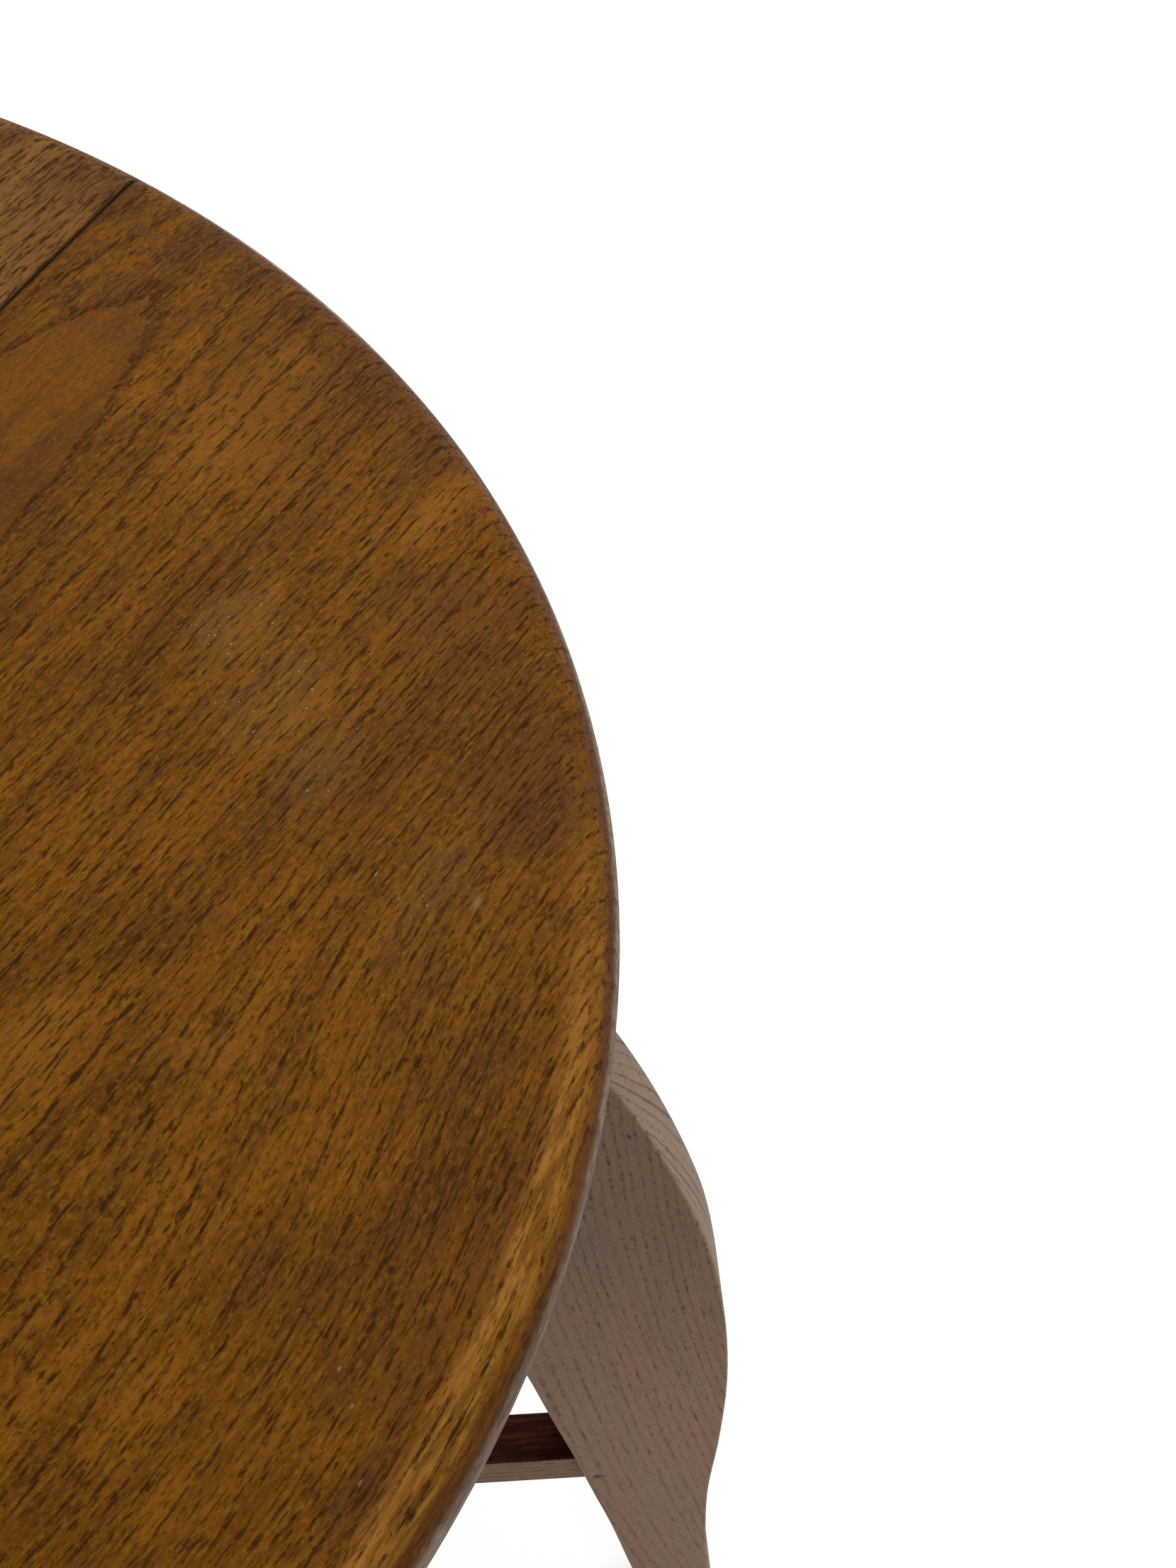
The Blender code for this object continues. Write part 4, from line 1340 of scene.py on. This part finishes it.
# %% [markdown]
# ## Pegs, pins, screws and glides, also by Geometry Nodes
#
# These are turned pieces that repeat: the same profile, stood at several places. A profile is
# a line of points up the middle, each with a radius. The tree sweeps a circle along it,
# remembers each spot's own place for the finish, and stands a copy on every place point,
# turned as that point says. Screws get more: a thread wound as a spiral, and a six-sided
# socket cut into the head. The places and lengths are read from the CAD pieces.

# %% Trees for turned pieces
TURNED_SIDES = 32
BLANK_INPUTS = {"Profile": OBJECT, "Sides": TURNED_SIDES}
SCREW_INPUTS = {"Thread Start": 0.4, "Thread Length": 0.02, "Thread Radius": 0.002,
                "Turns": 12.0, "Socket Radius": 0.002, "Socket Height": 0.4,
                "Socket Depth": 0.002}
THREAD_TOOTH = 0.0005


def live_socket(sockets, name):
    """The socket of that name which the node's settings leave in use."""
    return next(socket for socket in sockets if socket.name == name and socket.enabled)


def swept(recipe, curve, sides, radius, **more):
    """A curve with a circle swept along it, capped at its ends."""
    ring = recipe.out("GeometryNodeCurvePrimitiveCircle", {"Resolution": sides, "Radius": radius})
    return recipe.out("GeometryNodeCurveToMesh", {"Curve": curve, "Profile Curve": ring,
                                                  "Fill Caps": True, **more})


def raised(recipe, shape, height):
    return recipe.out("GeometryNodeTransform", {
        "Geometry": shape, "Translation": recipe.join(0.0, 0.0, height)})


def make_blank_tree():
    recipe, given, result = new_tree(GEOMETRY_TREE, "turned_blank", BLANK_INPUTS,
                                     {"Geometry": GEOMETRY})
    curve = recipe.out("GeometryNodeMeshToCurve", {"Mesh": object_shape(recipe, given["Profile"])})
    radius = recipe.out("GeometryNodeInputNamedAttribute", {"Name": "radius"}, data_type="FLOAT")
    recipe.feed(result[0], swept(recipe, curve, given["Sides"], 1.0, Scale=radius))
    return recipe.tree


def headed_and_threaded(recipe, given, blank):
    """A screw: its blank with a six-sided socket cut into the head and a thread round it."""
    socket = recipe.out("GeometryNodeMeshCylinder", {
        "Vertices": 6, "Side Segments": 1, "Fill Segments": 1, "Radius": given["Socket Radius"],
        "Depth": given["Socket Depth"] * 2.0})
    headed = recipe.out("GeometryNodeMeshBoolean", {
        "Mesh 1": blank, "Mesh 2": raised(recipe, socket, given["Socket Height"])},
        operation="DIFFERENCE", solver="EXACT")
    spiral = recipe.out("GeometryNodeCurveSpiral", {
        "Resolution": 20, "Rotations": given["Turns"], "Start Radius": given["Thread Radius"],
        "End Radius": given["Thread Radius"], "Height": given["Thread Length"],
        "Reverse": False})
    thread = raised(recipe, swept(recipe, spiral, 3, THREAD_TOOTH), given["Thread Start"])
    return joined(recipe, headed, thread)


def make_set_tree(name, more, body_of):
    """A tree that stands copies of a turned body, which body_of makes from the blank."""
    recipe, given, result = new_tree(GEOMETRY_TREE, name, {
        "Places": GEOMETRY, **BLANK_INPUTS, **more, "Finish": MATERIAL}, {"Geometry": GEOMETRY})
    blank = recipe.group(blank_tree, {key: given[key] for key in BLANK_INPUTS},
                         "GeometryNodeGroup")["Geometry"]
    store = recipe.add("GeometryNodeStoreNamedAttribute", {
        "Geometry": body_of(recipe, given, blank), "Name": "own_place"},
        data_type="FLOAT_VECTOR", domain="POINT")
    recipe.feed(live_socket(store.inputs, "Value"), recipe.out("GeometryNodeInputPosition"))
    turn = recipe.add("GeometryNodeInputNamedAttribute", {"Name": "turn"},
                      data_type="FLOAT_VECTOR")
    copies = recipe.out("GeometryNodeInstanceOnPoints", {
        "Points": given["Places"], "Instance": store.outputs[0],
        "Rotation": live_socket(turn.outputs, "Attribute")})
    recipe.feed(result[0], dressed(recipe, given, copies))
    return recipe.tree


blank_tree = make_blank_tree()
turned_tree = make_set_tree("turned_set", {}, lambda recipe, given, blank: blank)
screw_tree = make_set_tree("screw_set", SCREW_INPUTS, headed_and_threaded)
print("trees:", blank_tree.name, turned_tree.name, screw_tree.name)

# %% Pegs and pins
RODS = (  # kind, chamfer, finish and slot
    ("peg", 0.0008, beech_pegs, "beech"),
    ("pin", 0.0004, aged_steel, "zinc_steel"),
)


def profile_line(name, rows):
    """A line of points up Z, each with a radius."""
    mesh = bpy.data.meshes.new(name)
    mesh.from_pydata([(0, 0, z) for z, _radius in rows],
                     [(i, i + 1) for i in range(len(rows) - 1)], [])
    mesh.attributes.new("radius", "FLOAT", "POINT").data.foreach_set(
        "value", [radius for _z, radius in rows])
    return link_new(name, mesh)


def place_points(name, places):
    """Points to stand copies on: each a place and three turns."""
    mesh = bpy.data.meshes.new(name)
    mesh.from_pydata([tuple(place) for place, _turn in places], [], [])
    mesh.attributes.new("turn", "FLOAT_VECTOR", "POINT").data.foreach_set(
        "vector", [angle for _place, turn in places for angle in turn])
    return mesh


def soft_ends(low, high, radius, chamfer):
    """Profile of a rod whose two ends are chamfered and slightly domed."""
    dome = chamfer / 4
    return [(low, radius / 8), (low + dome, radius - chamfer), (low + chamfer, radius),
            (high - chamfer, radius), (high - dome, radius - chamfer), (high, radius / 8)]


def finish_turned(name, rows, places, tree, finish, slot, replaced, **more):
    profile = profile_line(name + "_profile", rows)
    piece = run_tree(tree, name, place_points(name, places),
                     {"Profile": profile, "Sides": TURNED_SIDES, "Finish": finish, **more})
    bpy.data.objects.remove(profile, do_unlink=True)
    bm = bmesh_of(piece.data)
    bmesh.ops.recalc_face_normals(bm, faces=bm.faces)
    bm.to_mesh(piece.data)
    bm.free()
    smooth_round(piece, TURNED_SHARP_DEG)
    place_on_table(piece, slot, *replaced)


def at_each_leg(middle, lying):
    """A place in the +X leg, repeated at each leg: upright, or lying along the leg's Y."""
    turns = [quarter * math.pi / 2 for quarter in range(4)]
    return [(Matrix.Rotation(turn, 3, "Z") @ middle,
             (-math.pi / 2, 0, turn) if lying else (0, 0, 0)) for turn in turns]


for rod, chamfer, finish, slot in RODS:
    low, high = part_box(rod + "_right")
    half = (high.y - low.y) / 2
    finish_turned("oak_leg_" + rod + "s", soft_ends(-half, half, (high.x - low.x) / 2, chamfer),
                  at_each_leg(middle_of(rod + "_right"), True), turned_tree, finish, slot,
                  [rod + "_" + name for name in QUARTERS])

# %% Glides
GLIDE_HEIGHT = 0.004
GLIDE_STEM_RADIUS = 0.00225
low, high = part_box("glide_right")
glide_radius = (high.x - low.x) / 2
glide_rows = [(0.0, 0.0060), (0.0003, 0.0075), (0.0012, glide_radius),
              (GLIDE_HEIGHT - 0.0006, glide_radius),
              (GLIDE_HEIGHT - 0.0001, glide_radius - 0.0005),
              (GLIDE_HEIGHT, glide_radius - 0.0020),
              (GLIDE_HEIGHT + 0.00002, GLIDE_STEM_RADIUS),
              (high.z - 0.0020, GLIDE_STEM_RADIUS), (high.z, GLIDE_STEM_RADIUS / 3)]
glide_middle = Vector(((low.x + high.x) / 2, 0, 0))
finish_turned("foot_glides", glide_rows, at_each_leg(glide_middle, False), turned_tree, nylon,
              "nylon", ["glide_" + name for name in QUARTERS])

# %% Screws
SHANK_RADIUS = 0.0025
SCREW_HEAD_HEIGHT = 0.0035
SCREW_TURN = 0.7
low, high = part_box(screw_nodes[0])
head_radius = (high.x - low.x) / 2
seat_z = low.z + SCREW_HEAD_HEIGHT
core = SHANK_RADIUS - 0.0005
screw_rows = [(low.z, head_radius * 0.62), (low.z + 0.0004, head_radius * 0.82),
              (low.z + 0.0012, head_radius), (seat_z - 0.0001, head_radius),
              (seat_z, core + 0.0002), (seat_z + 0.004, core), (high.z - 0.005, core),
              (high.z - 0.0001, core / 4), (high.z, core / 8)]
screw_places = [(middle_of(name).xy.to_3d(), (0, 0, SCREW_TURN * index))
                for index, name in enumerate(screw_nodes)]
finish_turned("top_screws", screw_rows, screw_places, screw_tree, zinc_steel, "zinc_steel",
              screw_nodes,
              **{"Thread Start": seat_z + 0.002, "Thread Length": high.z - seat_z - 0.006,
                 "Thread Radius": core, "Turns": 18.0, "Socket Radius": 0.00225,
                 "Socket Height": low.z, "Socket Depth": 0.002})

# %% [markdown]
# ## Dress the CAD pieces that stay
#
# The rails, stretchers and tongues are right as they are, so they stay and only get their
# finishes.

# %% Give the kept pieces their finishes
tongue_finishes = {"tongue_front": beech_tongues, "tongue_back": beech_tongues}
for node, finish in {**bar_finishes, **tongue_finishes}.items():
    for slot in nodes[node].material_slots:
        slot.material = finish
    print(node, "gets", finish.name)
